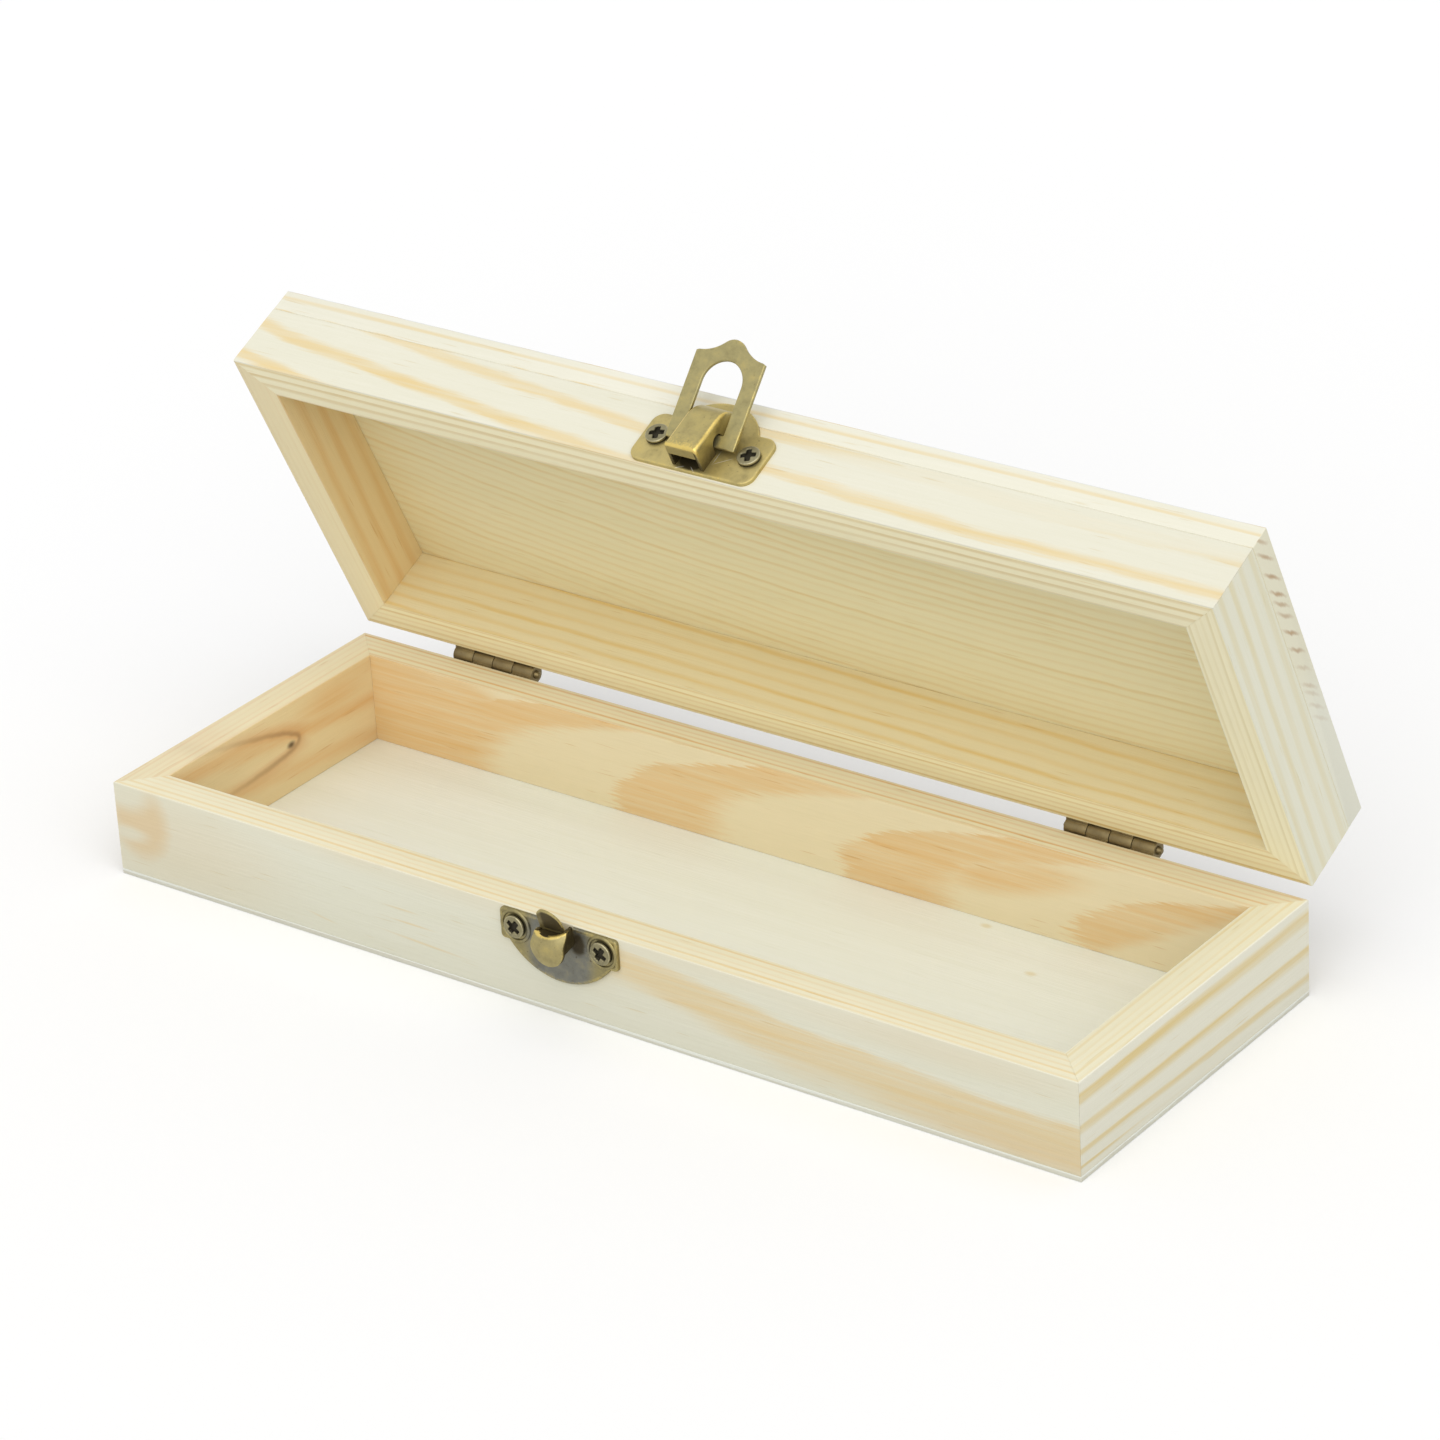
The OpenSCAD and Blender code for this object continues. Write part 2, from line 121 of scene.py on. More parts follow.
# %% [markdown]
# ## Camera and light
# The camera stands at the right front corner, with a long lens, as in a catalogue picture. Several area
# lamps could light the case, but one wide overhead lamp in an even white surround throws the single soft
# shadow of a light tent.

# %% Camera and lamp
CAMERA_AT = (515.17, -657.05, 457.31)
CAMERA_TURN = (63.409, 2.976, 36.203)
CAMERA_LENS = 139.72
LAMP_STRENGTH, LAMP_SPREAD, LAMP_TURN = 1.5, 80, (45, 0, 35)

scene = bpy.context.scene
scene.view_settings.view_transform = "Standard"


def add_object(name, data, turn=(0, 0, 0), at=(0, 0, 0)):
    """Adds one object to the scene, turned by degrees and set at a point in millimetres."""
    made = bpy.data.objects.new(name, data)
    made.rotation_euler = np.radians(turn)
    made.location = np.array(at) * MM
    scene.collection.objects.link(made)
    return made


camera = bpy.data.cameras.new("camera")
camera.lens = CAMERA_LENS
camera.sensor_width = 36
camera.clip_end = 20
scene.camera = add_object("camera", camera, CAMERA_TURN, CAMERA_AT)
lamp = bpy.data.lights.new("overhead_lamp", "SUN")
lamp.energy = LAMP_STRENGTH
lamp.angle = np.radians(LAMP_SPREAD)
add_object("overhead_lamp", lamp, LAMP_TURN)
print("camera", CAMERA_AT, "lens", CAMERA_LENS)

# %% [markdown]
# Shaders are nets of small nodes, and a long sum is hard to read when it is written node by node.
# So a wire stands for a socket here: plus, minus and times between wires each add the Math node they need.


# %% Wires between shader nodes
class Wire:
    """A value on its way through a node tree; each sum or product with it adds one Math node."""

    def __init__(self, tree, socket):
        self.tree = tree
        self.socket = socket

    def math(self, operation, *others, clamp=False):
        """One Math node on this wire and some others."""
        values = dict(enumerate([self, *others]))
        return add(self.tree, "Math", values, operation=operation, use_clamp=clamp)[0]

    def __add__(self, other):
        return self.math("ADD", other)

    def __sub__(self, other):
        return self.math("SUBTRACT", other)

    def __rsub__(self, other):
        return self.math("MULTIPLY_ADD", -1.0, other)

    def __mul__(self, other):
        return self.math("MULTIPLY", other)

    def __truediv__(self, other):
        return self.math("DIVIDE", other)

    def __pow__(self, other):
        return self.math("POWER", other)

    def __abs__(self):
        return self.math("ABSOLUTE")


def plug(value, socket):
    """Links a wire to a socket, or sets the socket to a plain value."""
    if isinstance(value, Wire):
        value.tree.links.new(value.socket, socket)
    else:
        socket.default_value = value


def add(tree, kind, inputs=None, **settings):
    """Adds one shader node, fills its inputs and returns its outputs as wires, by number and by name."""
    made = tree.nodes.new("ShaderNode" + kind)
    for key, value in settings.items():
        setattr(made, key, value)
    for key, value in (inputs or {}).items():
        plug(value, made.inputs[key])
    return {key: Wire(tree, socket) for i, socket in enumerate(made.outputs) for key in (i, socket.name)}


def new_material(name):
    """An empty material and its node tree."""
    material = bpy.data.materials.new(name)
    material.use_nodes = True
    return material, material.node_tree


def dress(material, values):
    """Plugs wires and plain values into a material's shader."""
    for label, value in values.items():
        plug(value, material.node_tree.nodes["Principled BSDF"].inputs[label])


print("wires ready")

# %% [markdown]
# The surround and the floor are plain white where they are seen or mirrored, and a little dimmer where
# they only give light, so that pale wood does not burn out and still throws a soft shadow.

# %% Surround and floor
SURROUND_STRENGTH = 0.7
FLOOR_SIZE, FLOOR_WHITE, FLOOR_BOUNCE = 6000, 0.97, 0.5


def seen_or_lit(tree, seen_value, lit_value):
    """One value for rays that are seen or mirrored, and another for rays that only bring light."""
    path = add(tree, "LightPath")
    seen = path["Is Camera Ray"].math("MAXIMUM", path["Is Glossy Ray"])
    seen = seen.math("MAXIMUM", path["Is Transmission Ray"])
    return seen * (seen_value - lit_value) + lit_value


scene.world = bpy.data.worlds.new("white_surround")
scene.world.use_nodes = True
surround = scene.world.node_tree
background = surround.nodes["Background"].inputs
background["Color"].default_value = (1, 1, 1, 1)
plug(seen_or_lit(surround, 1, SURROUND_STRENGTH), background["Strength"])

floor_mesh = bpy.data.meshes.new("floor")
floor_corners = np.array([[-1, -1, 0], [1, -1, 0], [1, 1, 0], [-1, 1, 0]]) * FLOOR_SIZE / 2 * MM
floor_mesh.from_pydata(floor_corners.tolist(), [], [(0, 1, 2, 3)])
add_object("floor", floor_mesh)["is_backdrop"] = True
floor_paint, floor_tree = new_material("floor_paint")
floor_tone = seen_or_lit(floor_tree, FLOOR_WHITE, FLOOR_BOUNCE)
dress(floor_paint, {"Base Color": floor_tone, "Roughness": 0.9, "Specular IOR Level": 0.0})
floor_mesh.materials.append(floor_paint)
print("floor", FLOOR_SIZE, "mm wide")

# %% [markdown]
# ## Tools for shapes
# Small fittings could be modelled by hand, but formulas keep every measure exact and easy to change. So
# each new piece is a surface over a grid: one direction follows a path or an outline, the other a profile.
# The functions below turn such grids into faces, close their ends and join several shells.


# %% Grids and shells
def grid_faces(rows, cols, wrap=False):
    """Quads between neighbouring rows and columns; wrap joins the last column to the first."""
    last = cols if wrap else cols - 1
    row, col = np.meshgrid(np.arange(rows - 1), np.arange(last), indexing="ij")
    right = (col + 1) % cols
    quads = [row * cols + col, row * cols + right, (row + 1) * cols + right, (row + 1) * cols + col]
    return np.stack(quads, -1).reshape(-1, 4).tolist()


def tube(grid):
    """A grid whose columns run round a closed outline, with a flat cap on its first and last row."""
    rows, cols = grid.shape[:2]
    faces = grid_faces(rows, cols, wrap=True)
    faces.append(list(range(cols))[::-1])
    faces.append(list(range((rows - 1) * cols, rows * cols)))
    return grid.reshape(-1, 3), faces


def ring(grid):
    """A grid that is closed both ways, such as a bead or a frame of sheet metal."""
    rows, cols = grid.shape[:2]
    faces = np.array(grid_faces(rows + 1, cols, wrap=True)) % (rows * cols)
    return grid.reshape(-1, 3), faces.tolist()


def join(shells):
    """Several (points, faces) shells as one."""
    starts = np.cumsum([0] + [len(points) for points, _ in shells])
    points = np.concatenate([points for points, _ in shells])
    faces = [[start + i for i in face] for start, (_, found) in zip(starts, shells) for face in found]
    return points, faces


def surface(along, up, out):
    """A grid of points from three coordinates, each given for every point, for rows, for columns or once."""
    return np.stack(np.broadcast_arrays(along, up, out), -1)


def arc(centre, radius, start, end, count):
    """Points along a circle from one angle to another, in degrees."""
    angle = np.radians(np.linspace(start, end, count))
    return np.array(centre) + radius * np.stack([np.cos(angle), np.sin(angle)], -1)


def rounded_rect(width, height, radius, count=5):
    """A rectangle about its middle, anticlockwise, with each corner an arc."""
    x, y = width / 2 - radius, height / 2 - radius
    corners = [((x, y), 0), ((-x, y), 90), ((-x, -y), 180), ((x, -y), 270)]
    return np.concatenate([arc(mid, radius, turn, turn + 90, count) for mid, turn in corners])


print("shape tools ready")

# %% [markdown]
# A piece is smooth except at its sharp edges. It rides on the body that carries it, and stands in for the
# plain node whose place it takes.

# %% Meshes and pieces
SMOOTH_ANGLE = np.radians(38)


def add_piece(name, mesh, body, slot, material, node=None):
    """Adds a finished mesh as a piece that rides on a body, in the place of a node if one is named."""
    mesh.shade_smooth()
    mesh.set_sharp_from_angle(angle=SMOOTH_ANGLE)
    mesh.materials.append(material)
    piece = add_object(name, mesh)
    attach(piece, body)
    if node:
        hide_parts(node)


def make_piece(name, shell, body, slot, material, node=None, marks=None):
    """A piece from a shell on the closed case, in millimetres. Marks are values for each point."""
    points, faces = shell
    mesh = bpy.data.meshes.new(name)
    mesh.from_pydata((stand(points, body) * MM).tolist(), [], faces)
    build = bmesh.new()
    build.from_mesh(mesh)
    bmesh.ops.recalc_face_normals(build, faces=build.faces)
    build.to_mesh(mesh)
    build.free()
    for label, values in (marks or {}).items():
        layer = mesh.attributes.new(label, "FLOAT", "POINT")
        layer.data.foreach_set("value", np.asarray(values, np.float32))
    add_piece(name, mesh, body, slot, material, node)
    print(name, "points:", len(points))


print("edges are sharp above", round(np.degrees(SMOOTH_ANGLE)), "degrees")

# %% [markdown]
# ## Pine
# Pine shows its growth rings: pale spring wood that darkens to tan late in the year, then stops short. A
# board cuts through them nearly along their faces, so a few rings make wide streaks or flame-like tongues
# on its faces, and many fine lines on its edges. A picture of wood could be wrapped round each board, but
# rings worked out from the board's own millimetres never stretch or repeat. One node group finds how far a
# point lies along the rings. A second one turns that distance into a mask, a third makes single patches,
# and a fourth paints them all.


# %% Tools for node groups
def tree_of(*values):
    """The node tree of the first wire among some values."""
    return next(value.tree for value in values if isinstance(value, Wire))


def axes(vector):
    """The three coordinates of a vector."""
    parts = add(vector.tree, "SeparateXYZ", {0: vector})
    return parts["X"], parts["Y"], parts["Z"]


def noise(vector, stretch, detail=2.0, roughness=0.5):
    """Noise about 0, from -1 to 1; stretch says how many lumps there are in a millimetre each way."""
    scaled = add(vector.tree, "VectorMath", {0: vector, 1: stretch}, operation="MULTIPLY")[0]
    settings = {"Vector": scaled, "Scale": 1.0, "Detail": detail, "Roughness": roughness}
    return add(vector.tree, "TexNoise", settings)[0] * 2.0 - 1.0


def soft_step(value, low, high, below=0.0, above=1.0):
    """A smooth step from one value to another."""
    limits = {"Value": value, "From Min": low, "From Max": high, "To Min": below, "To Max": above}
    return add(value.tree, "MapRange", limits, interpolation_type="SMOOTHSTEP")[0]


def mix(factor, first, second, mode="MIX"):
    """One Mix node on two colours."""
    values = {0: factor, 6: first, 7: second}
    return add(tree_of(*values.values()), "Mix", values, data_type="RGBA", blend_type=mode)[2]


COLOUR_SOCKETS = {"colour", "pale", "late", "warm", "bright", "film", "dark"}


def make_group(name, build):
    """A node group: the arguments of build are its inputs, as wires, and build returns its outputs."""
    tree = bpy.data.node_groups.new(name, "ShaderNodeTree")

    def add_socket(label, way):
        kind = "Vector" if label == "vector" else "Color" if label in COLOUR_SOCKETS else "Float"
        tree.interface.new_socket(label, in_out=way, socket_type="NodeSocket" + kind)

    labels = list(inspect.signature(build).parameters)
    for label in labels:
        add_socket(label, "INPUT")
    starts = tree.nodes.new("NodeGroupInput").outputs
    made = build(*[Wire(tree, starts[label]) for label in labels])
    for label in made:
        add_socket(label, "OUTPUT")
    ends = tree.nodes.new("NodeGroupOutput").inputs
    for label, wire in made.items():
        plug(wire, ends[label])
    print("node group:", name, labels)
    return tree


def use(group, **values):
    """One node group in a material, with its own values."""
    return add(tree_of(*values.values()), "Group", values, node_tree=group)


print("group tools ready")

# %% Node groups for rings and patches
def find_rings(vector, along, curve, across, tongue, power, middle, tilt, waves, fibres):
    """Distance along the rings: slopes along and across the board, a curve, and a tongue that grows
    with the distance from its middle line, all shaken by slow waves and by fibres."""
    x, _, z = axes(vector)
    field = x * along + x * x * curve + z * across
    field += abs(z - middle + x * tilt) ** power * tongue
    field += noise(vector, (0.03, 0.05, 0.09), 3.0, 0.55) * waves
    return {"field": field + noise(vector, (0.1, 1.5, 2.2), 3.0, 0.6) * fibres}


def mask_rings(field, spacing, start, rise, width, fade, vary):
    """Rings along a field: each starts at a step, lasts for a width and fades; some are fainter."""
    count = (field - start) / spacing
    share = count.math("FRACT")
    luck = add(field.tree, "TexWhiteNoise", {"W": count.math("FLOOR")}, noise_dimensions="1D")["Value"]
    fall = soft_step(share, width, width + fade, 1.0, 0.0)
    return {"mask": soft_step(share, 0.0, rise) * fall * (1.0 - luck * vary)}


def mask_patch(vector, along, up, reach_along, reach_up, softness, fibres, tilt):
    """A soft oval patch about a point of the board's face, with fibrous ends."""
    x, _, z = axes(vector)
    off = noise(vector, (0.05, 0.5, 0.9), 3.0, 0.6) * fibres + x - along
    high = (z - up - off * tilt) / reach_up
    off = off / reach_along
    reach = (off * off + high * high).math("SQRT")
    return {"mask": soft_step(reach, 1.0 - softness, 1.0, 1.0, 0.0)}


ring_field = make_group("Ring field", find_rings)
ring_mask = make_group("Ring mask", mask_rings)
patch = make_group("Patch", mask_patch)


# %% Node group for pine
def paint_pine(vector, rings, blush, pores, pale, late, warm):
    """Pale wood, darkened by rings and by a warm tone that on inner faces is painted bounce light, with
    fibres, pores and slow changes of tone.
    """
    fibres = noise(vector, (0.06, 1.7, 2.3), 4.0, 0.65)
    tone = noise(vector, (0.012, 0.05, 0.12))
    dots = soft_step(noise(vector, (0.11, 1.9, 2.3), 1.0), 0.32, 0.62) * pores
    uneven = noise(vector, (0.02, 0.7, 0.9), 3.0, 0.6) * 1.8 + fibres
    darkened = (uneven * rings).math("MULTIPLY_ADD", 0.6, rings, clamp=True)
    colour = mix(darkened, mix(blush, pale, warm), late)
    shade = fibres * 0.045 + tone * 0.04 + 1.0
    shade_colour = add(vector.tree, "CombineColor", {0: shade, 1: shade, 2: shade ** 1.7})[0]
    colour = mix(1.0, colour, shade_colour, "MULTIPLY")
    return {
        "colour": mix(dots, colour, late, "MULTIPLY"),
        "roughness": fibres * 0.06 - rings * 0.1 + 0.62,
        "height": rings * 0.5 + fibres - dots,
    }


pine = make_group("Pine", paint_pine)

# %% [markdown]
# Each board has its own cut of the log, so each gets its own numbers, read off its streaks and tongues.
# All lengths are in millimetres on the board: x runs along the grain, y through the thickness from
# the face that shows, and z up the face. Colours are written as they look under plain white light.


# %% Wood materials
def paint(red, green, blue):
    """A display colour as the linear colour that shaders use."""
    share = np.array([red, green, blue]) / 255
    linear = np.where(share <= 0.04045, share / 12.92, ((share + 0.055) / 1.055) ** 2.4)
    return (*linear.tolist(), 1.0)


PALE, LATE, WARM = paint(239, 236, 217), paint(229, 205, 152), paint(233, 207, 154)
GRAIN_PLAIN = dict(along=0.0, curve=0.0, across=1.0, tongue=0.0, power=2.0, middle=0.0, tilt=0.0,
                   waves=1.0, fibres=0.12)
EDGE_LINES = dict(spacing=1.4, start=0.2, rise=0.2, width=0.28, fade=0.32, vary=0.65)
EDGE_MARGIN, EDGE_WAVER = 0.3, 0.6
# Share of the painted bounce light, and of the rings, that a board keeps on its hidden outer face.
HIDDEN_BLUSH = 0.4
WOOD_BUMP, WOOD_DEPTH = 0.5, 0.06


def place_on_board(tree, origin, turn=0.0, in_lid=False, flat=False):
    """Board coordinates in millimetres: one Mapping node closes the lid, lays a flat panel's face up
    along z and turns x along the grain."""
    tip = np.pi / 2 if flat else 0.0
    close = lid_angle if in_lid else 0.0
    c, s = np.cos(turn), np.sin(turn)
    turn_z = np.array([[c, -s, 0], [s, c, 0], [0, 0, 1]])
    return add(tree, "Mapping", {
        "Vector": add(tree, "TexCoord")["Object"],
        "Location": turn_z @ turn_x(tip) @ (pin - turn_x(close) @ pin - np.array(origin)),
        "Rotation": (tip + close, 0, turn),
        "Scale": (1 / MM,) * 3,
    })[0]


def steps(spacing, start, rise, width, fade, vary):
    """The numbers of one set of rings."""
    return dict(spacing=spacing, start=start, rise=rise, width=width, fade=fade, vary=vary)


def spot(along, up, reach_along, reach_up, softness, fibres, amount, tilt=0.0):
    """One patch: its middle, its reach each way, how soft and fibrous it is, how much it counts, its tilt."""
    return amount, dict(along=along, up=up, reach_along=reach_along, reach_up=reach_up, softness=softness,
                        fibres=fibres, tilt=tilt)


def add_patches(vector, mask, patches):
    """Adds soft patches to a mask; a patch with a negative amount takes away from it."""
    for amount, values in patches:
        found = use(patch, vector=vector, **values)["mask"] * abs(amount)
        mask = found.math("MAXIMUM", mask) if amount > 0 else (1.0 - found) * mask
    return mask


def apply_look(material, look, colour, bump, depth, **plain):
    """Plugs a look into a material's shader, and sets the values that are the same all over."""
    height = {"Height": look["height"], "Strength": bump, "Distance": depth * MM}
    normal = add(material.node_tree, "Bump", height)[0]
    dress(material, {"Base Color": colour, "Roughness": look["roughness"], "Normal": normal, **plain})
    return material


def wood_material(name, place, thick, grain, rings, strength=0.8, streaks=(), edge=0.6, edge_lines=None,
                  patches=(), blush=0.0, edge_blush=0.4, pores=0.35, pale=PALE, rim=None, late=LATE,
                  warm=WARM, extra=None):
    """One board's wood: rings on its faces, fine lines on its edges, and patches where it has them."""
    material, tree = new_material(name)
    vector = place_on_board(tree, **place)
    field = use(ring_field, vector=vector, **{**GRAIN_PLAIN, **grain})["field"]
    mask = add_patches(vector, use(ring_mask, field=field, **rings)["mask"] * strength, streaks)
    depth = axes(vector)[1] * (-1.0 if place.get("flat") else 1.0)
    waver = noise(vector, (0.012, 0.2, 0.2)) * EDGE_WAVER
    lines = use(ring_mask, field=waver + depth, **{**EDGE_LINES, **(edge_lines or {})})["mask"]
    margin = min(EDGE_MARGIN, thick / 6)
    near = soft_step(depth, margin / 2, margin)
    inside = near * soft_step(depth, thick - margin, thick - margin / 2, 1.0, 0.0)
    mask = add(tree, "Mix", {0: inside, 2: mask, 3: lines * edge})[0]
    # Warmth is the warm tone of patches and, on boards that show their inner face, painted bounce light all
    # over.
    warmth = (inside * (edge_blush - 1) + 1.0) * add_patches(vector, blush, patches)
    # On those boards the hidden outer face keeps only a share of the painted bounce light and of the rings.
    if blush:
        hidden = soft_step(depth, thick - EDGE_MARGIN / 2, thick - EDGE_MARGIN / 4, 1.0, HIDDEN_BLUSH)
        warmth = warmth * hidden
        mask = mask * hidden
    look = use(pine, vector=vector, rings=mask, blush=warmth, pores=pores, late=late, warm=warm,
               pale=mix(inside, pale, rim or pale))
    colour = extra(vector, look["colour"]) if extra else look["colour"]
    return apply_look(material, look, colour, WOOD_BUMP, WOOD_DEPTH, **{"Specular IOR Level": 0.3})


print("edge lines every", EDGE_LINES["spacing"], "mm")

# %% [markdown]
# The tray's left board was sawn across an old branch. It left a dark hairpin line with a brown halo and
# a small dark eye, which are drawn over the finished wood.

# %% Knot
KNOT_LEAN, KNOT_UP, KNOT_SHAKE, KNOT_CURVE, KNOT_TIP = 0.09, 11.0, 0.35, 0.88, 6.6
KNOT_HALO, KNOT_DARK, KNOT_EYE = paint(206, 146, 88), paint(112, 80, 48), paint(70, 46, 26)


def knot_line(vector, colour):
    """A dark hairpin line round an old branch: a parabola along the board, darkest at its bend. Its
    value is divided by its slope, which gives the distance from the line."""
    x, _, z = axes(vector)
    off = x * KNOT_LEAN + z - KNOT_UP + noise(vector, (0.25, 0.3, 0.3)) * KNOT_SHAKE
    square = off * off
    slope = (square * (2 * KNOT_CURVE) ** 2 + 1.0).math("SQRT")
    away = abs(square * KNOT_CURVE + x - KNOT_TIP) / slope
    near_bend = soft_step(x, -22.0, 6.0, 0.1, 0.9)
    colour = mix(soft_step(away, 2.2, 0.2, 0.0, 0.5) * near_bend, colour, KNOT_HALO)
    colour = mix(soft_step(away, 0.8, 0.05, 0.0, 0.42) * near_bend, colour, KNOT_DARK)
    eye = add_patches(vector, 0.0, [spot(4.3, 10.0, 1.6, 1.0, 0.9, 0.1, 0.85)])
    return mix(eye, colour, KNOT_EYE)


print("knot tip", KNOT_TIP, "mm behind the middle of the board")

# %% [markdown]
# Now the eight cuts. Streaks are single patches of late wood, and patches are warm patches of the wood's
# tone;
# where the amount is negative they take wood back to pale. A board that shows its inner face is painted warm
# all over: painted bounce light from inside the open case.

# %% Looks of the eight boards
# On tray_back, tray_left, lid_back and lid_left the warm amount is painted bounce light on the inner face.
BOARD_LOOKS = {
    "tray_front": dict(
        grain=dict(along=-0.155, curve=0.0007, across=-1.0, waves=1.9, fibres=1.5),
        rings=steps(60, -19, 0.03, 0.09, 0.13, 0.0), strength=0.7, edge=0.8,
        pale=paint(231, 229, 208), late=paint(230, 206, 155), warm=paint(226, 196, 146),
        streaks=[
            spot(-24.0, 16.0, 34.0, 9.0, 0.6, 4.0, -1.0),
            spot(28.0, 3.0, 36.0, 6.0, 0.6, 5.0, -0.85, -0.28),
            spot(-36.0, 10.6, 5.0, 0.3, 0.9, 2.0, 0.5),
            spot(-34.0, 8.3, 6.5, 0.3, 0.9, 2.0, 0.55),
            spot(-31.0, 5.2, 13.0, 0.35, 0.9, 3.0, 0.5, -0.04),
            spot(-54.0, 4.1, 4.0, 0.3, 0.9, 1.0, 0.45, -0.15),
        ],
        patches=[
            spot(-94.5, 11.5, 9.5, 10.0, 0.6, 1.2, 0.72),
            spot(-97.5, 16.8, 8.0, 5.2, 0.7, 1.5, -0.85),
            spot(-97.5, 8.6, 6.5, 2.2, 0.8, 1.5, -0.75),
            spot(92.0, 3.5, 34.0, 4.5, 0.9, 6.0, 0.45),
            spot(0.0, 18.0, 130.0, 4.5, 0.9, 4.0, 0.14),
            spot(72.0, 16.0, 48.0, 4.5, 0.9, 4.0, 0.2),
            spot(-86.0, 9.0, 36.0, 16.0, 0.9, 4.0, 0.22),
        ]),
    "tray_back": dict(
        grain=dict(along=1.0, across=0.0, tongue=-0.1, power=2.2, middle=4.0, waves=5.0, fibres=7.0),
        rings=steps(49.5, -40, 0.05, 0.36, 0.2, 0.2), strength=0.7, edge=0.8, blush=0.75, pores=0.5,
        late=paint(223, 184, 124), warm=paint(228, 209, 163),
        streaks=[
            spot(-86.0, 8.0, 24.0, 13.0, 0.35, 3.0, 0.7),
            spot(-72.0, 15.5, 12.0, 4.0, 0.6, 3.0, 0.6),
            spot(88.0, 5.0, 45.0, 9.5, 0.3, 3.0, -0.95, 0.42),
            spot(46.0, 10.4, 20.0, 4.6, 0.7, 3.0, 0.62, 0.2),
        ]),
    "tray_left": dict(
        grain=dict(along=0.12, waves=2.4, fibres=0.5),
        rings=steps(7.0, 3.0, 0.35, 0.4, 0.4, 0.5), strength=0.5, edge=0.25, blush=0.72,
        late=paint(218, 168, 104), warm=paint(228, 199, 138), extra=knot_line,
        streaks=[spot(16.0, 14.5, 14.0, 4.5, 0.9, 3.0, 0.5)]),
    "tray_right": dict(
        grain=dict(along=-0.064, across=0.0, tongue=10.0, power=0.5, middle=-0.1, tilt=0.05, waves=1.1),
        rings=steps(8.78, 1.22, 0.32, 0.37, 0.15, 0.2), strength=0.9, edge=0.5, late=paint(229, 208, 150),
        streaks=[spot(0.0, 0.6, 60.0, 2.6, 0.4, 1.0, -0.9)]),
    "lid_front": dict(
        grain=dict(along=0.07, curve=-0.0004, waves=1.4, fibres=0.9),
        rings=steps(7.3, 4.1, 0.16, 0.28, 0.22, 0.25), edge=0.8, edge_lines=dict(spacing=2.0, vary=0.4),
        pale=paint(229, 226, 207), late=paint(228, 205, 152),
        streaks=[spot(62.0, 10.8, 68.0, 2.8, 0.5, 3.0, -0.85)]),
    "lid_back": dict(
        grain=dict(along=0.02, waves=0.9, fibres=0.16),
        rings=steps(2.6, 0.4, 0.3, 0.3, 0.35, 0.5), strength=0.62, edge=0.7, blush=0.6,
        pale=paint(235, 231, 209), late=paint(222, 188, 112), warm=paint(223, 199, 133)),
    "lid_left": dict(
        grain=dict(along=0.03, waves=0.9, fibres=0.2),
        rings=steps(4.2, 1.0, 0.35, 0.4, 0.3, 0.4), strength=0.52, edge=0.1, blush=0.75,
        late=paint(218, 172, 104), warm=paint(228, 196, 130)),
    "lid_right": dict(
        grain=dict(along=0.012, waves=0.5, fibres=0.08),
        rings=steps(3.3, 0.6, 0.2, 0.35, 0.3, 0.4), strength=0.55,
        pale=paint(241, 239, 218), late=paint(231, 218, 170)),
}
print("boards with a look:", len(BOARD_LOOKS))

# %% [markdown]
# ## The mitred boards
# A box maker runs long strips through a planer, breaks their sharp edges with fine paper and saws the ends
# at 45 degrees. A box with a Bevel modifier would do for square ends. For mitres, a rounded rectangle is
# carried along the side of the case, and each point of the outline stops short of the corner by its own
# depth from the outer face.

# %% Boards of the tray and the lid
BOARD_EASE = 0.18
BOARD_STATIONS = 9
JOINT_GAP = 0.015
QUARTER = -np.pi / 2
# The lid's rim colour is painted lighter: its rims face down into shade once it stands open, and the lighter
# colour is painted light.
RIM_COLOURS = {"tray": paint(236, 230, 202), "lid": paint(255, 247, 212)}
# For each side: the axis it runs along, the way its outer face looks, and where the face that shows lies.
BOARD_SIDES = {
    "front": (0, -1, (0, front_y)),
    "back": (0, 1, (0, inner_y)),
    "left": (1, -1, (-inner_x, 0)),
    "right": (1, 1, (half_l, 0)),
}


def mitred_board(low, high, along, outer):
    """A rounded rectangle carried along one side; the half length at a point is less by its depth."""
    across = 1 - along
    thick, tall = high[across] - low[across], high[2] - low[2]
    outline = rounded_rect(thick, tall, BOARD_EASE)
    depth = outline[:, 0] + thick / 2
    half = (high[along] - low[along]) / 2 - depth - JOINT_GAP
    grid = np.empty((BOARD_STATIONS, len(outline), 3))
    grid[..., along] = np.linspace(-1, 1, BOARD_STATIONS)[:, None] * half
    grid[..., across] = low[across] + depth if outer < 0 else high[across] - depth
    grid[..., 2] = outline[:, 1] + (low[2] + high[2]) / 2
    return grid


for node, look in BOARD_LOOKS.items():
    body, side = node.split("_")
    along, outer, face = BOARD_SIDES[side]
    in_lid = body == "lid"
    place = dict(origin=(*face, lid_rim if in_lid else 0), turn=QUARTER * along, in_lid=in_lid)
    wood = wood_material(node + "_pine", place, wall_t, rim=RIM_COLOURS[body], **look)
    shell = tube(mitred_board(*node_span(node), along, outer))
    make_piece(node + "_board", shell, body, "pine", wood, node)

# %% [markdown]
# ## The two panels
# Thin panels close the tray below and the lid above. They are sawn a little proud, glued on and sanded
# flush, so their edges show all round: long grain on the front, end grain with short slanted marks on the
# ends. A bevelled box could make them too. A rectangle carried along the case and drawn in at both ends
# gives the same eased edges in one grid, as for the boards.

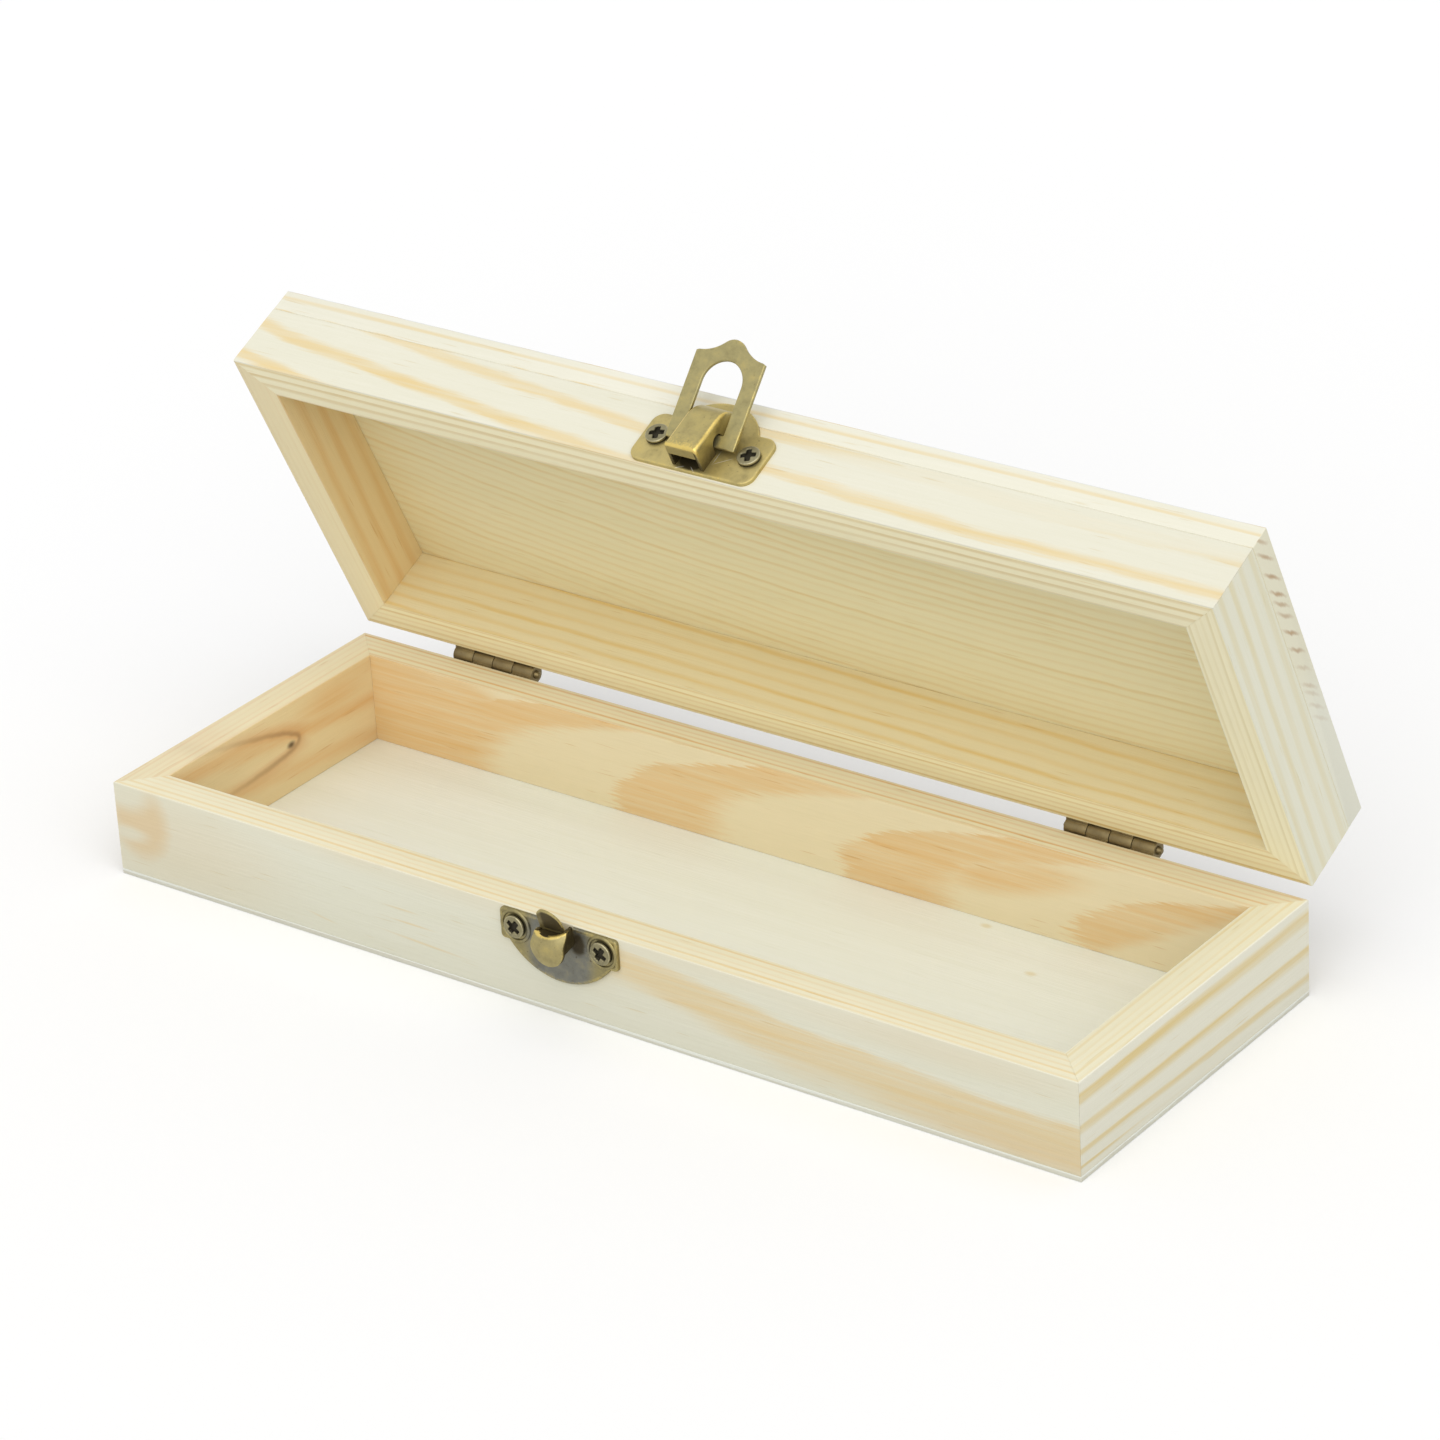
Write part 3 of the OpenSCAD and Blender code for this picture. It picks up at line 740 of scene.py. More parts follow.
# %% Wood of the panels
PANEL_EASE, BOTTOM_EASE, LEAST_R = 0.12, 0.05, 0.01
OUTER_TINT = (0.93, 0.97, 1.14, 1.0)
SAWN_FRONT, SAWN_BACK = paint(234, 230, 205), paint(238, 237, 219)
END_MARK, PIN_KNOT = paint(178, 140, 98), paint(216, 192, 116)
END_SLANT = 1.33
END_MARKS = ((-33.7, 0.5), (-30.0, 0.65), (-25.3, 0.75), (-21.2, 0.75), (-18.7, 0.6), (-16.0, 0.55),
             (-11.9, 0.75), (-7.6, 0.65), (-3.3, 0.3), (1.0, 0.35), (2.9, 0.25), (6.0, 0.25), (9.0, 0.2))
panel_low, panel_high = node_span("lid_panel")
panel_t = panel_high[2] - panel_low[2]
bottom_t = case_high[2] - case_low[2]


def end_grain(vector, colour):
    """A paler outer face, which takes back part of the panel's painted bounce light; sawn ends are warm in
    front, with short slanted brown marks of dense grain.
    """
    x, y, z = axes(vector)
    outer = soft_step(y, EDGE_MARGIN - panel_t, EDGE_MARGIN / 3 - panel_t)
    colour = mix(outer, colour, OUTER_TINT, "MULTIPLY")
    at_end = soft_step(abs(x), half_l - 0.1, half_l - 0.03)
    sawn = mix(soft_step(z, -8.0, 10.0), SAWN_FRONT, SAWN_BACK)
    depth = y + panel_t / 2
    on_end = add(z.tree, "CombineXYZ", {0: depth * END_SLANT + z, 2: depth})[0]
    marks = [spot(along, 0.2, 0.9, 2.3, 0.9, 0.9, dark) for along, dark in END_MARKS]
    sawn_marks = mix(add_patches(on_end, 0.0, marks), sawn, END_MARK)
    return mix(at_end, colour, sawn_marks)


def floor_knots(vector, colour):
    """Two pin knots in the bottom panel, no bigger than a pencil's lead."""
    knots = [spot(along, up, 1.6, 1.0, 0.8, 0.3, 0.4) for along, up in ((57.6, 15.6), (42.0, 25.6))]
    return mix(add_patches(vector, 0.0, knots), colour, PIN_KNOT)


# The patch over the whole panel paints it warm: painted bounce light from inside the open case.
panel_wood = wood_material(
    "lid_panel_pine", dict(origin=(0, 0, panel_low[2]), in_lid=True, flat=True), panel_t,
    grain=dict(along=-0.08, curve=0.00064, waves=1.4, fibres=0.22),
    rings=steps(2.15, 0.2, 0.3, 0.26, 0.4, 0.7), strength=0.5, edge=0.5, edge_blush=0.0, extra=end_grain,
    edge_lines=steps(4.5, 2.3, 0.08, 0.12, 0.15, 0.3),
    patches=[spot(0.0, 0.0, 20 * half_l, half_w - 0.3, 0.01, 0.0, 1.0)],
    pale=paint(232, 229, 211), late=paint(228, 198, 128), warm=paint(241, 231, 190))
bottom_wood = wood_material(
    "tray_bottom_pine", dict(origin=(0, 0, 0), flat=True), bottom_t,
    grain=dict(along=0.01, waves=2.0, fibres=0.3),
    rings=steps(14.0, 2.0, 0.4, 0.2, 0.4, 0.8), strength=0.12, edge=1.0, extra=floor_knots, pores=0.2,
    edge_lines=steps(3.0, -0.2, 0.02, 0.27, 0.05, 0.0),
    pale=paint(238, 240, 230), rim=paint(230, 232, 221), late=paint(216, 213, 196))
print("panels", round(panel_t, 2), "and", round(bottom_t, 2), "mm thick")


# %% Bottom panel and top panel
def eased_slab(low, high, ease, count=4):
    """Rounded rectangles carried along x; near each end they draw in by ease on a quarter circle."""
    turn = np.linspace(0, np.pi / 2, count)
    inset = ease * (1 - np.sin(turn))
    step = ease * (1 - np.cos(turn))
    wide, tall = (high - low)[1:]
    rows = []
    for draw, x in zip([*inset, *inset[::-1]], [*(low[0] + step), *(high[0] - step[::-1])]):
        outline = rounded_rect(wide - 2 * draw, tall - 2 * draw, ease - draw + LEAST_R)
        rows.append(np.column_stack([np.full(len(outline), x), outline + (low[1:] + high[1:]) / 2]))
    return np.array(rows)


lid_slab = eased_slab(panel_low, panel_high, PANEL_EASE)
bottom_slab = eased_slab(case_low, case_high, BOTTOM_EASE)
make_piece("lid_panel_board", tube(lid_slab), "lid", "panel_pine", panel_wood, "lid_panel")
make_piece("tray_bottom_board", tube(bottom_slab), "tray", "bottom_pine", bottom_wood, "tray_bottom")

# %% [markdown]
# ## Aged brass
# The fittings are stamped from thin brass and dipped in a bath that leaves a brown film: antique brass.
# Tumbling rubs the film off folds, rims and high spots, and leaves it in corners. Wear could be painted by
# hand, but marks that come from a piece's own shape stay right when a size changes. The node group reads
# them and mixes three colours: bright metal, the film and a dark colour. On folds and rims the bright metal
# is partly wear and partly a painted highlight, and the dark is partly film left in corners and partly
# painted shade on walls, undersides and in recesses.


# %% Node group for aged brass
def paint_brass(vector, worn, grime, rough, bright, film, dark):
    """A mottled film over bright brass, brightened by wear and by painted highlights, darkened by film in
    corners and by painted shade, with small pits.
    """
    mottle = noise(vector, (0.5, 0.5, 0.5), 4.0, 0.6)
    speckle = noise(vector, (3.0, 3.0, 3.0), 3.0, 0.6)
    grain = noise(vector, (1.5, 1.5, 1.5), 3.0, 0.65)
    pits = noise(vector, (1.3, 1.3, 1.3), 1.0)
    # Wear marks also carry painted highlights on folds and rims; grime marks carry painted shade as well as
    # film left in corners.
    rubbed = soft_step(speckle * 0.35 + worn + mottle * 0.25, 0.3, 0.85)
    dirt = soft_step(mottle * 0.3 + grime, 0.1, 0.8) * 0.92
    pit = soft_step(speckle * 0.25 + pits, 0.42, 0.68, 0.0, 0.55)
    film = mix(soft_step(mottle, -0.1, 0.9, 0.0, 0.4), film, bright)
    film = mix(soft_step(mottle, 0.1, -0.8, 0.0, 0.4), film, dark)
    film = mix(soft_step(grain, 0.1, 0.8, 0.0, 0.3), film, bright)
    film = mix(soft_step(grain, -0.1, -0.8, 0.0, 0.42), film, dark)
    return {
        "colour": mix(dirt.math("MAXIMUM", pit), mix(rubbed, film, bright), dark),
        "roughness": rough - rubbed * 0.1 + speckle * 0.06 + dirt * 0.15,
        "height": speckle * 0.3 + mottle - pit * 1.5,
    }


brass = make_group("Aged brass", paint_brass)

# %% Brass materials
BRASS_BRIGHT, BRASS_FILM, BRASS_DARK = paint(222, 196, 112), paint(190, 174, 116), paint(66, 56, 34)
SCRATCH = paint(236, 232, 216)
PIT_BUMP, PIT_DEPTH = 0.4, 0.03


def brass_material(name, body, film=BRASS_FILM, bright=BRASS_BRIGHT, dark=BRASS_DARK, rough=0.42,
                   at=(latch_x, front_y), spots=(), scratches=(), field=None):
    """One fitting's brass. Spots are darkened patches and scratches are bright ones, in its own millimetres.
    A field is a patch of another colour; on the keeper the field is a painted dark reflection."""
    material, tree = new_material(name)
    vector = place_on_board(tree, (*at, rims[body]), in_lid=body != "tray")
    worn, grime = (add(tree, "Attribute", attribute_name=label)["Fac"] for label in ("worn", "grime"))
    if field:
        film = mix(add_patches(vector, 0.0, field[:1]), film, field[1])
    look = use(brass, vector=vector, worn=worn, grime=add_patches(vector, grime, spots), rough=rough,
               bright=bright, film=film, dark=dark)
    colour = look["colour"]
    if scratches:
        colour = mix(add_patches(vector, 0.0, scratches), colour, SCRATCH)
    return apply_look(material, look, colour, PIT_BUMP, PIT_DEPTH, Metallic=0.85)


hasp_brass = brass_material(
    "hasp_brass", "lid", spots=[spot(0.0, 2.6, 3.4, 2.6, 0.5, 0.0, 1.0)],
    scratches=[
        spot(5.2, 3.9, 1.9, 0.1, 0.6, 0.0, 0.9, 0.73),
        spot(3.72, 4.4, 0.1, 1.7, 0.6, 0.0, 0.9),
        spot(-1.6, 0.75, 0.9, 0.12, 0.6, 0.0, 0.9, 0.5),
        spot(0.9, 0.85, 0.7, 0.12, 0.6, 0.0, 0.9, -0.8),
    ])
bridge_brass = brass_material("bridge_brass", "lid", paint(178, 164, 109))
loop_brass = brass_material("loop_brass", "hasp", paint(164, 154, 108))
keeper_brass = brass_material(
    "keeper_film_and_painted_light", "tray", paint(146, 136, 95), paint(190, 172, 108),
    # A dark patch right of the hook: a painted shadow of the hook.
    spots=[spot(3.9, -3.0, 2.4, 3.3, 0.8, 0.6, 1.0)],
    # The grey field is a painted dark reflection in the flat plate.
    field=(spot(0.0, -5.0, 8.2, 12.0, 0.35, 0.0, 1.0), paint(121, 121, 112)))
hook_brass = brass_material("hook_brass", "tray", paint(163, 151, 104))
print("brass materials: 5")

# %% [markdown]
# ## The hasp plate
# The plate on the lid is blanked from sheet: two ears for the screws and a round hump between them. The die
# leaves its upper edge a little rounded, and that is where the film is rubbed off. A filled curve could be
# extruded to the same outline. A rim profile carried round it, with flat faces above and below, also says
# which points are worn.


# %% Tools for stamped sheet
def latch_piece(name, shell, body, slot, material, node=None, **marks):
    """A piece of the latch from points given along, up and out, from where the latch meets the rim."""
    points, faces = shell
    along, up, out = points.T
    on_front = surface(latch_x + along, front_y - out, rims[body] + up)
    make_piece(name, (on_front, faces), body, slot, material, node, marks)


def mirrored(half):
    """A closed outline from its right half, drawn from the middle at the bottom to the middle at the top."""
    return np.concatenate([half, half[-2:0:-1] * [-1, 1]])


def inset(outline, depth):
    """Moves each point of an anticlockwise outline inwards, square to its two neighbouring edges."""
    ahead = np.roll(outline, -1, 0) - outline
    ahead /= np.linalg.norm(ahead, axis=1, keepdims=True)
    behind = np.roll(ahead, 1, 0)
    inward = (ahead + behind)[:, ::-1] * [-1, 1]
    return outline + depth * inward / (1 + np.sum(ahead * behind, 1, keepdims=True))


def rim_sweep(outline, profile):
    """A rim profile of insets and heights, carried round an outline; rows follow the profile."""
    return np.array([np.insert(inset(outline, depth), 2, high, axis=1) for depth, high in profile])


def row_marks(grid, values):
    """One value for each row of a grid, repeated for its points."""
    return np.repeat(np.asarray(values, float), grid.shape[1])


print("sheet tools ready")

# %% Hasp plate
PLATE_T = 0.7
HASP_W, HASP_EDGE, EAR_TOP, EAR_R = 25, 0.3, 10.8, 2.2
HUMP_MID, HUMP_R, HUMP_FILLET = 6.5, 9.3, 0.8
RIM_PROFILE = [(0, 0), (0, 0.5), (0.06, 0.63), (0.2, PLATE_T), (0.55, PLATE_T), (1.2, PLATE_T)]
RIM_WORN = [0.1, 0.3, 0.45, 0.4, 0.15, 0.0]
ear_x = HASP_W / 2 - EAR_R
fillet_up = EAR_TOP + HUMP_FILLET - HUMP_MID
fillet_x = np.sqrt((HUMP_R + HUMP_FILLET) ** 2 - fillet_up ** 2)
fillet_turn = np.degrees(np.arctan2(fillet_up, fillet_x))
hasp_half = np.concatenate([
    [(0, HASP_EDGE), (4, HASP_EDGE), (8, HASP_EDGE)],
    arc((ear_x, HASP_EDGE + EAR_R), EAR_R, -90, 0, 9),
    arc((ear_x, EAR_TOP - EAR_R), EAR_R, 0, 90, 9),
    arc((fillet_x, EAR_TOP + HUMP_FILLET), HUMP_FILLET, -90, fillet_turn - 180, 5),
    arc((0, HUMP_MID), HUMP_R, fillet_turn, 90, 20)[1:],
])
plate_grid = rim_sweep(mirrored(hasp_half), RIM_PROFILE)
latch_piece("hasp_plate_sheet", tube(plate_grid), "lid", "hasp_brass", hasp_brass, "hasp_plate",
            worn=row_marks(plate_grid, RIM_WORN))

# %% [markdown]
# ## The bridge
# A strip of sheet is folded over the loop's bar and curls down to the plate behind it. Its section is an
# upside down U with rounded folds. Two slots let the bar through, and a short lip closes the front end half
# way down. Solidify could thicken one skin, but the inner folds are sharper than the outer ones. So an
# outer skin and an inner skin are worked out, and the border between them is closed.

# %% Bridge
BRIDGE_W, BRIDGE_H, BRIDGE_T = 6.4, 5.0, 0.6
BRIDGE_FRONT, BRIDGE_TURN, BRIDGE_CURL = 1.0, 8.0, 0.485 * np.pi
SLOT_MID, SLOT_OUT, SLOT_R = 6.4, 2.25, 1.37
FOLD_R, FRONT_R, FOLD_SHARE, LEAST_WALL, CURL_END = 0.65, 0.55, 0.6, 0.02, 0.8
# Where the folds and the front end are brightened, wear and a painted highlight; below, how dark the inner
# skins are painted: painted shade.
FOLD_WORN_IN, FOLD_WORN_W, FRONT_WORN_IN, FRONT_WORN_W = 0.25, 0.28, 0.2, 0.45
HIDDEN_GRIME = 0.8


def bell(value, middle, width):
    """A bell curve: e to the power of minus the square of the distance from its middle, in widths."""
    return np.exp(-((value - middle) / width) ** 2)


def half_chord(radius, off, least=0.0):
    """Half the chord of a circle at some distance from its middle, from Pythagoras."""
    return np.sqrt(np.maximum(radius ** 2 - off ** 2, least))


def bridge_skin(shrink):
    """U sections along the bridge: up one wall, round a fold, across the roof and down again. A wall starts
    at the plate, or at the slot's arch. Shrink is how far the skin lies inside the outer one."""
    front = BRIDGE_FRONT + FRONT_R * (1 - np.cos(np.linspace(0, np.pi / 2, 5)))
    slot = SLOT_MID + SLOT_R * np.sin(np.linspace(-np.pi / 2, np.pi / 2, 13))
    back = BRIDGE_TURN + BRIDGE_H * np.sin(np.linspace(0, BRIDGE_CURL, 13))
    v = np.concatenate([front, slot[:1], slot, slot[-1:], back])[:, None]
    in_slot = np.repeat([False, True, False], [len(front) + 1, len(slot), len(back) + 1])[:, None]
    drop = FRONT_R - half_chord(FRONT_R, np.maximum(BRIDGE_FRONT + FRONT_R - v, 0))
    roof = PLATE_T + half_chord(BRIDGE_H, np.maximum(v - BRIDGE_TURN, 0), 0.01) - drop - shrink
    bottom = np.where(in_slot, SLOT_OUT + half_chord(SLOT_R, v - SLOT_MID), PLATE_T)
    top = np.maximum(roof, bottom + LEAST_WALL)
    fold = np.clip((top - bottom) * FOLD_SHARE, LEAST_R, max(FOLD_R - shrink, LEAST_R))
    turn = np.radians(np.linspace(180, 90, 6))[1:]
    half = BRIDGE_W / 2 - shrink
    wall = bottom + np.linspace(0, 1, 5) * (top - fold - bottom)
    across = np.hstack([np.full(wall.shape, -half), fold * (1 + np.cos(turn)) - half])
    out = np.hstack([wall, top - fold * (1 - np.sin(turn))])
    across = np.hstack([across, -across[:, ::-1]])
    return surface(across, v, np.hstack([out, out[:, ::-1]]))


def between(outer, inner):
    """Two skins of a bent sheet, joined round their borders."""
    rows, cols = outer.shape[:2]
    skin = np.array(grid_faces(rows, cols))
    index = np.arange(rows * cols).reshape(rows, cols)
    border = np.concatenate([index[0, :-1], index[:-1, -1], index[-1, :0:-1], index[:0:-1, 0]])
    after = np.roll(border, -1)
    rim = np.stack([border, after, after + rows * cols, border + rows * cols], -1)
    faces = skin.tolist() + (skin[:, ::-1] + rows * cols).tolist() + rim.tolist()
    return np.concatenate([outer.reshape(-1, 3), inner.reshape(-1, 3)]), faces


def skin_marks(outer, inner):
    """Marks for both skins of a bent sheet: an array for the outer one, a plain value for the inner one."""
    return np.concatenate([outer.ravel(), np.full(outer.size, inner)])


outer_skin, inner_skin = bridge_skin(0.0), bridge_skin(BRIDGE_T)
inner_skin[-1] = outer_skin[-1] * [CURL_END, 1, 1] - [0, BRIDGE_T, 0]
# Folds and the front end are rubbed where they stand high, and there the bright metal is also a painted
# highlight. The walls are painted dark, a painted shade, and so is the sheet low down by the plate, where
# some film stays too.
across, up, out = np.moveaxis(outer_skin, -1, 0)
fold_wear = bell(np.abs(across), BRIDGE_W / 2 - FOLD_WORN_IN, FOLD_WORN_W)
front_wear = bell(up, BRIDGE_FRONT + FRONT_WORN_IN, FRONT_WORN_W)
high = np.clip((out - PLATE_T - 2.0) / 2.5, 0, 1)
low_grime = np.clip(0.5 - out / 4, 0, 1)
wall_grime = np.clip(0.85 - out / 6, 0, 0.7) * (np.abs(across) > BRIDGE_W / 2 - 0.08)
latch_piece("hasp_bridge", between(outer_skin, inner_skin), "lid", "hasp_brass", bridge_brass,
            worn=skin_marks(np.maximum(fold_wear, front_wear) * high * 0.95, 0.0),
            grime=skin_marks(np.maximum(low_grime, wall_grime), HIDDEN_GRIME))

# %% Lip
LIP_LEFT, LIP_RIGHT, LIP_LOW, LIP_PROUD = -3.05, 2.55, 3.4, 0.03
# The lip's fold is brightened, wear and a painted highlight, and its drop is darker: painted shade.
LIP_WORN = [*np.linspace(0.5, 0.9, 4), *np.linspace(0.9, 0.1, 4), 0.1, 0.1, 0.2, 0.5]
LIP_GRIME = [*np.linspace(0, 0.2, 7), *np.full(5, 0.3)]


def lip_skin(shrink):
    """The lip's bend: a quarter circle from the roof round its front fold, then straight down."""
    centre = (BRIDGE_FRONT + FRONT_R, PLATE_T + BRIDGE_H - FRONT_R)
    fold = arc(centre, max(FRONT_R + LIP_PROUD - shrink, LEAST_WALL), 90, 180, 7)
    drop = np.linspace(fold[-1], (fold[-1, 0], LIP_LOW), 6)[1:]
    up, out = np.concatenate([fold, drop]).T[..., None]
    return surface(np.linspace(LIP_LEFT, LIP_RIGHT, 9), up, out)


lip = lip_skin(0.0)
latch_piece("hasp_lip", between(lip, lip_skin(BRIDGE_T)), "lid", "hasp_brass", bridge_brass,
            worn=skin_marks(row_marks(lip, LIP_WORN), 0.0),
            grime=skin_marks(row_marks(lip, LIP_GRIME), HIDDEN_GRIME))

# %% [markdown]
# ## The loop
# The loop is a flat frame with straight legs, an arched window and a pointed ogee top. Its lower side is
# the bar that turns in the bridge. A Boolean could cut the window, but it leaves no even rows that wear
# could follow. So outer edge and window are drawn side by side, and the sheet spans between them. It is
# drawn flat, then lifted off the lid about its bar.

# %% Loop
LOOP_W, WINDOW_W, LOOP_T, BAR_H, LOOP_EASE, LOOP_CORNER = 14.0, 8.1, 0.8, 1.1, 0.13, 0.15
SHOULDER, TIP, TIP_R, WINDOW_TOP = 14.5, 17.4, 2.7, 13.6
# Straight lines stop a little before the arc that follows them.
SHOULDER_GAP, HOLLOW_START, ARCH_GAP = 0.2, 266, 0.3
half, window = LOOP_W / 2, WINDOW_W / 2
tip_mid = TIP - TIP_R
rise = SHOULDER - tip_mid
hollow_r = (half ** 2 + rise ** 2 - TIP_R ** 2) / (2 * (TIP_R - rise))
hollow_turn = np.degrees(np.arctan2(SHOULDER + hollow_r - tip_mid, half))
arch_mid = WINDOW_TOP - window
loop_outer = mirrored(np.concatenate([
    np.linspace((0, -BAR_H), (half - LOOP_CORNER, -BAR_H), 7),
    np.linspace((half, LOOP_CORNER - BAR_H), (half, SHOULDER - SHOULDER_GAP), 14),
    arc((half, SHOULDER + hollow_r), hollow_r, HOLLOW_START, 180 + hollow_turn, 12),
    arc((0, tip_mid), TIP_R, hollow_turn, 90, 10)[1:],
]))
loop_window = mirrored(np.concatenate([
    np.linspace((0, BAR_H), (window - LOOP_CORNER, BAR_H), 7),
    np.linspace((window, BAR_H + LOOP_CORNER), (window, arch_mid - ARCH_GAP), 14),
    arc((0, arch_mid), window, 0, 90, 21),
]))
top_h = LOOP_T / 2
# The section from the outer edge to the window and back: share of the way, draw in, height, wear.
LOOP_SECTION = [
    (0, 0, LOOP_EASE - top_h, 0.3), (0, 0, top_h - LOOP_EASE, 0.4), (0, LOOP_EASE, top_h, 0.4),
    (0.12, LOOP_EASE, top_h, 0.1), (0.88, LOOP_EASE, top_h, 0.05), (1, LOOP_EASE, top_h, 0.3),
    (1, 0, top_h - LOOP_EASE, 0.25), (1, 0, LOOP_EASE - top_h, 0.1), (1, LOOP_EASE, -top_h, 0.3),
    (0.88, LOOP_EASE, -top_h, 0.05), (0.12, LOOP_EASE, -top_h, 0.1), (0, LOOP_EASE, -top_h, 0.4),
]


def loop_row(share, ease, height):
    """One closed line on the loop: a share of the way from outer edge to window, drawn in, at a height."""
    line = inset(loop_outer, ease) * (1 - share) + inset(loop_window, -ease) * share
    return np.insert(line, 2, height, axis=1)


loop_grid = np.array([loop_row(*row[:3]) for row in LOOP_SECTION])
flat_points, loop_faces = ring(loop_grid)
bar_at = np.array([0, pivot[2] - lid_rim, front_y - pivot[1]])
loop_points = flat_points @ turn_x(loop_lift).T + bar_at
latch_piece("hasp_loop_sheet", (loop_points, loop_faces), "hasp", "hasp_brass", loop_brass, "hasp_loop",
            worn=row_marks(loop_grid, [row[3] for row in LOOP_SECTION]))
print("loop lifted", round(np.degrees(loop_lift), 1), "degrees off the lid")

# %% [markdown]
# ## The keeper
# The half-moon plate on the tray is pressed as well as cut: a border stands up round it and a bead round
# each screw, and the field between them is painted grey: a painted dark reflection in the flat plate. A
# notch in its upper edge is where the hook comes from. A bump map could fake the border, but light
# catches its edge, so the rim profile steps down to the field, and the beads are rings laid into it.

# %% Keeper plate and beads
KEEPER_W, KEEPER_TOP, KEEPER_EAR_LOW, KEEPER_R = 24.4, -0.2, -6.0, 0.8
MOON_MID, MOON_R, NOTCH_HALF, CREASE = 2.0, 13.2, 3.0, -1.6
KEEPER_SCREW_X, KEEPER_SCREW_V, BEAD_R, BEAD_TUBE, BEAD_WORN, FIELD_T = 9.0, -3.1, 2.8, 0.35, 0.3, 0.55
KEEPER_PROFILE = [(0, 0), (0, 0.45), (0.1, 0.64), (0.28, PLATE_T), (0.5, PLATE_T), (0.72, 0.56),
                  (0.76, FIELD_T)]
KEEPER_WORN = [0.1, 0.35, 0.5, 0.5, 0.4, 0.2, 0.05]
moon_turn = np.degrees(np.arcsin((KEEPER_EAR_LOW - MOON_MID) / MOON_R))
corner_x = KEEPER_W / 2 - KEEPER_R
keeper_half = np.concatenate([
    arc((0, MOON_MID), MOON_R, -90, moon_turn, 24),
    arc((corner_x, KEEPER_EAR_LOW + KEEPER_R), KEEPER_R, -90, 0, 6),
    arc((corner_x, KEEPER_TOP - KEEPER_R), KEEPER_R, 0, 90, 6),
    [(8, KEEPER_TOP), (NOTCH_HALF, KEEPER_TOP), (NOTCH_HALF, CREASE), (0, CREASE)],
])


def bead(along, up, out, count=40, round_count=10):
    """A small circle carried round a larger one: a bead pressed up from the sheet."""
    turn = np.linspace(0, 2 * np.pi, count, endpoint=False)[:, None]
    roll = np.linspace(0, 2 * np.pi, round_count, endpoint=False)[None]
    reach = BEAD_R + BEAD_TUBE * np.cos(roll)
    lift = out + BEAD_TUBE * np.sin(roll)
    return surface(along + reach * np.cos(turn), up + reach * np.sin(turn), lift)


keeper_grid = rim_sweep(mirrored(keeper_half), KEEPER_PROFILE)
beads = [ring(bead(way * KEEPER_SCREW_X, KEEPER_SCREW_V, FIELD_T)) for way in (-1, 1)]
bead_worn = np.full(sum(len(points) for points, _ in beads), BEAD_WORN)
latch_piece("keeper_sheet", join([tube(keeper_grid), *beads]), "tray", "keeper_brass", keeper_brass,
            "keeper_plate", worn=np.concatenate([row_marks(keeper_grid, KEEPER_WORN), bead_worn]))

# %% [markdown]
# ## Hook and guide flap
# The tongue cut from the keeper's upper edge is bent out and over to make the hook, dished a little at its
# front. Its rim is rubbed bright by the loop and also carries a painted highlight, and its inside, walls
# and shelf are painted dark: painted shade. It could be sculpted, but a formula for how far it stands out
# lets its front, two walls and shelf meet. Each is one bent sheet. A second tongue behind them leans out
# and guides the loop onto the hook.

# %% Front of the hook
HOOK_AT, HOOK_R, HOOK_MID, HOOK_T = 0.3, 3.4, -3.0, 0.6
HOOK_RIM, HOOK_DIP, HOOK_TILT, HOOK_NARROW, HOOK_BLEND = -0.4, 0.6, 0.1, 0.13, 2.6
HOOK_SIDE_OUT, HOOK_SKEW, HOOK_RIM_BOW, HOOK_OUT, HOOK_DOME, HOOK_ROLL = 2.9, 0.4, 1.3, 4.6, 0.35, 0.6
# A little less than 1, so that no sheet runs out to nothing at its sides.
ALMOST = 0.999


def ramp(value):
    """A smooth step from 0 to 1."""
    share = np.clip(value, 0, 1)
    return share * share * (3 - 2 * share)


def hook_rim(share):
    """The height of the hook's rim: it dips in the middle and rises a little to the right."""
    return HOOK_RIM + HOOK_TILT * HOOK_R * share - HOOK_DIP * (1 - share ** 2)


def hook_width(up):
    """Narrowing of the hook above its middle: an ellipse, so that its sides stay round up to the rim."""
    share = np.clip((up - HOOK_MID) / (HOOK_RIM - HOOK_MID), 0, 1)
    return np.sqrt(1 - (1 - (1 - HOOK_NARROW) ** 2) * share ** 2)


def hook_reach(share, up):
    """How far the hook stands out: bowed at its rim, then a low dome that falls off to a round edge."""
    bow = HOOK_SIDE_OUT - HOOK_SKEW * share + HOOK_RIM_BOW * (1 - share ** 2)
    spread = np.clip(share ** 2 + np.minimum(up - HOOK_MID, 0) ** 2 / HOOK_R ** 2, 0, 1)
    dome = HOOK_OUT - HOOK_DOME * spread ** 1.5
    return bow + (dome - bow) * ramp((hook_rim(share) - up) / HOOK_BLEND), spread


# The front runs from its rim down to a half circle, and its rim rolls back on a quarter circle.
across_share = np.sin(np.linspace(-1, 1, 33) * np.pi / 2)[None]
down_share = np.linspace(0, 1, 25)[:, None]
side_share = ALMOST * across_share
rim_edge = hook_rim(side_share)
low_edge = HOOK_MID - HOOK_R * np.sqrt(1 - side_share ** 2)
hook_up = rim_edge + (low_edge - rim_edge) * down_share
hook_out, spread = hook_reach(side_share, hook_up)
from_rim = np.clip(1 - (rim_edge - hook_up) / HOOK_ROLL, 0, 1)
hook_out = hook_out - HOOK_ROLL * (1 - np.sqrt(1 - 0.98 * from_rim ** 2))
hook_front = surface(HOOK_AT + HOOK_R * side_share * hook_width(hook_up), hook_up, hook_out)
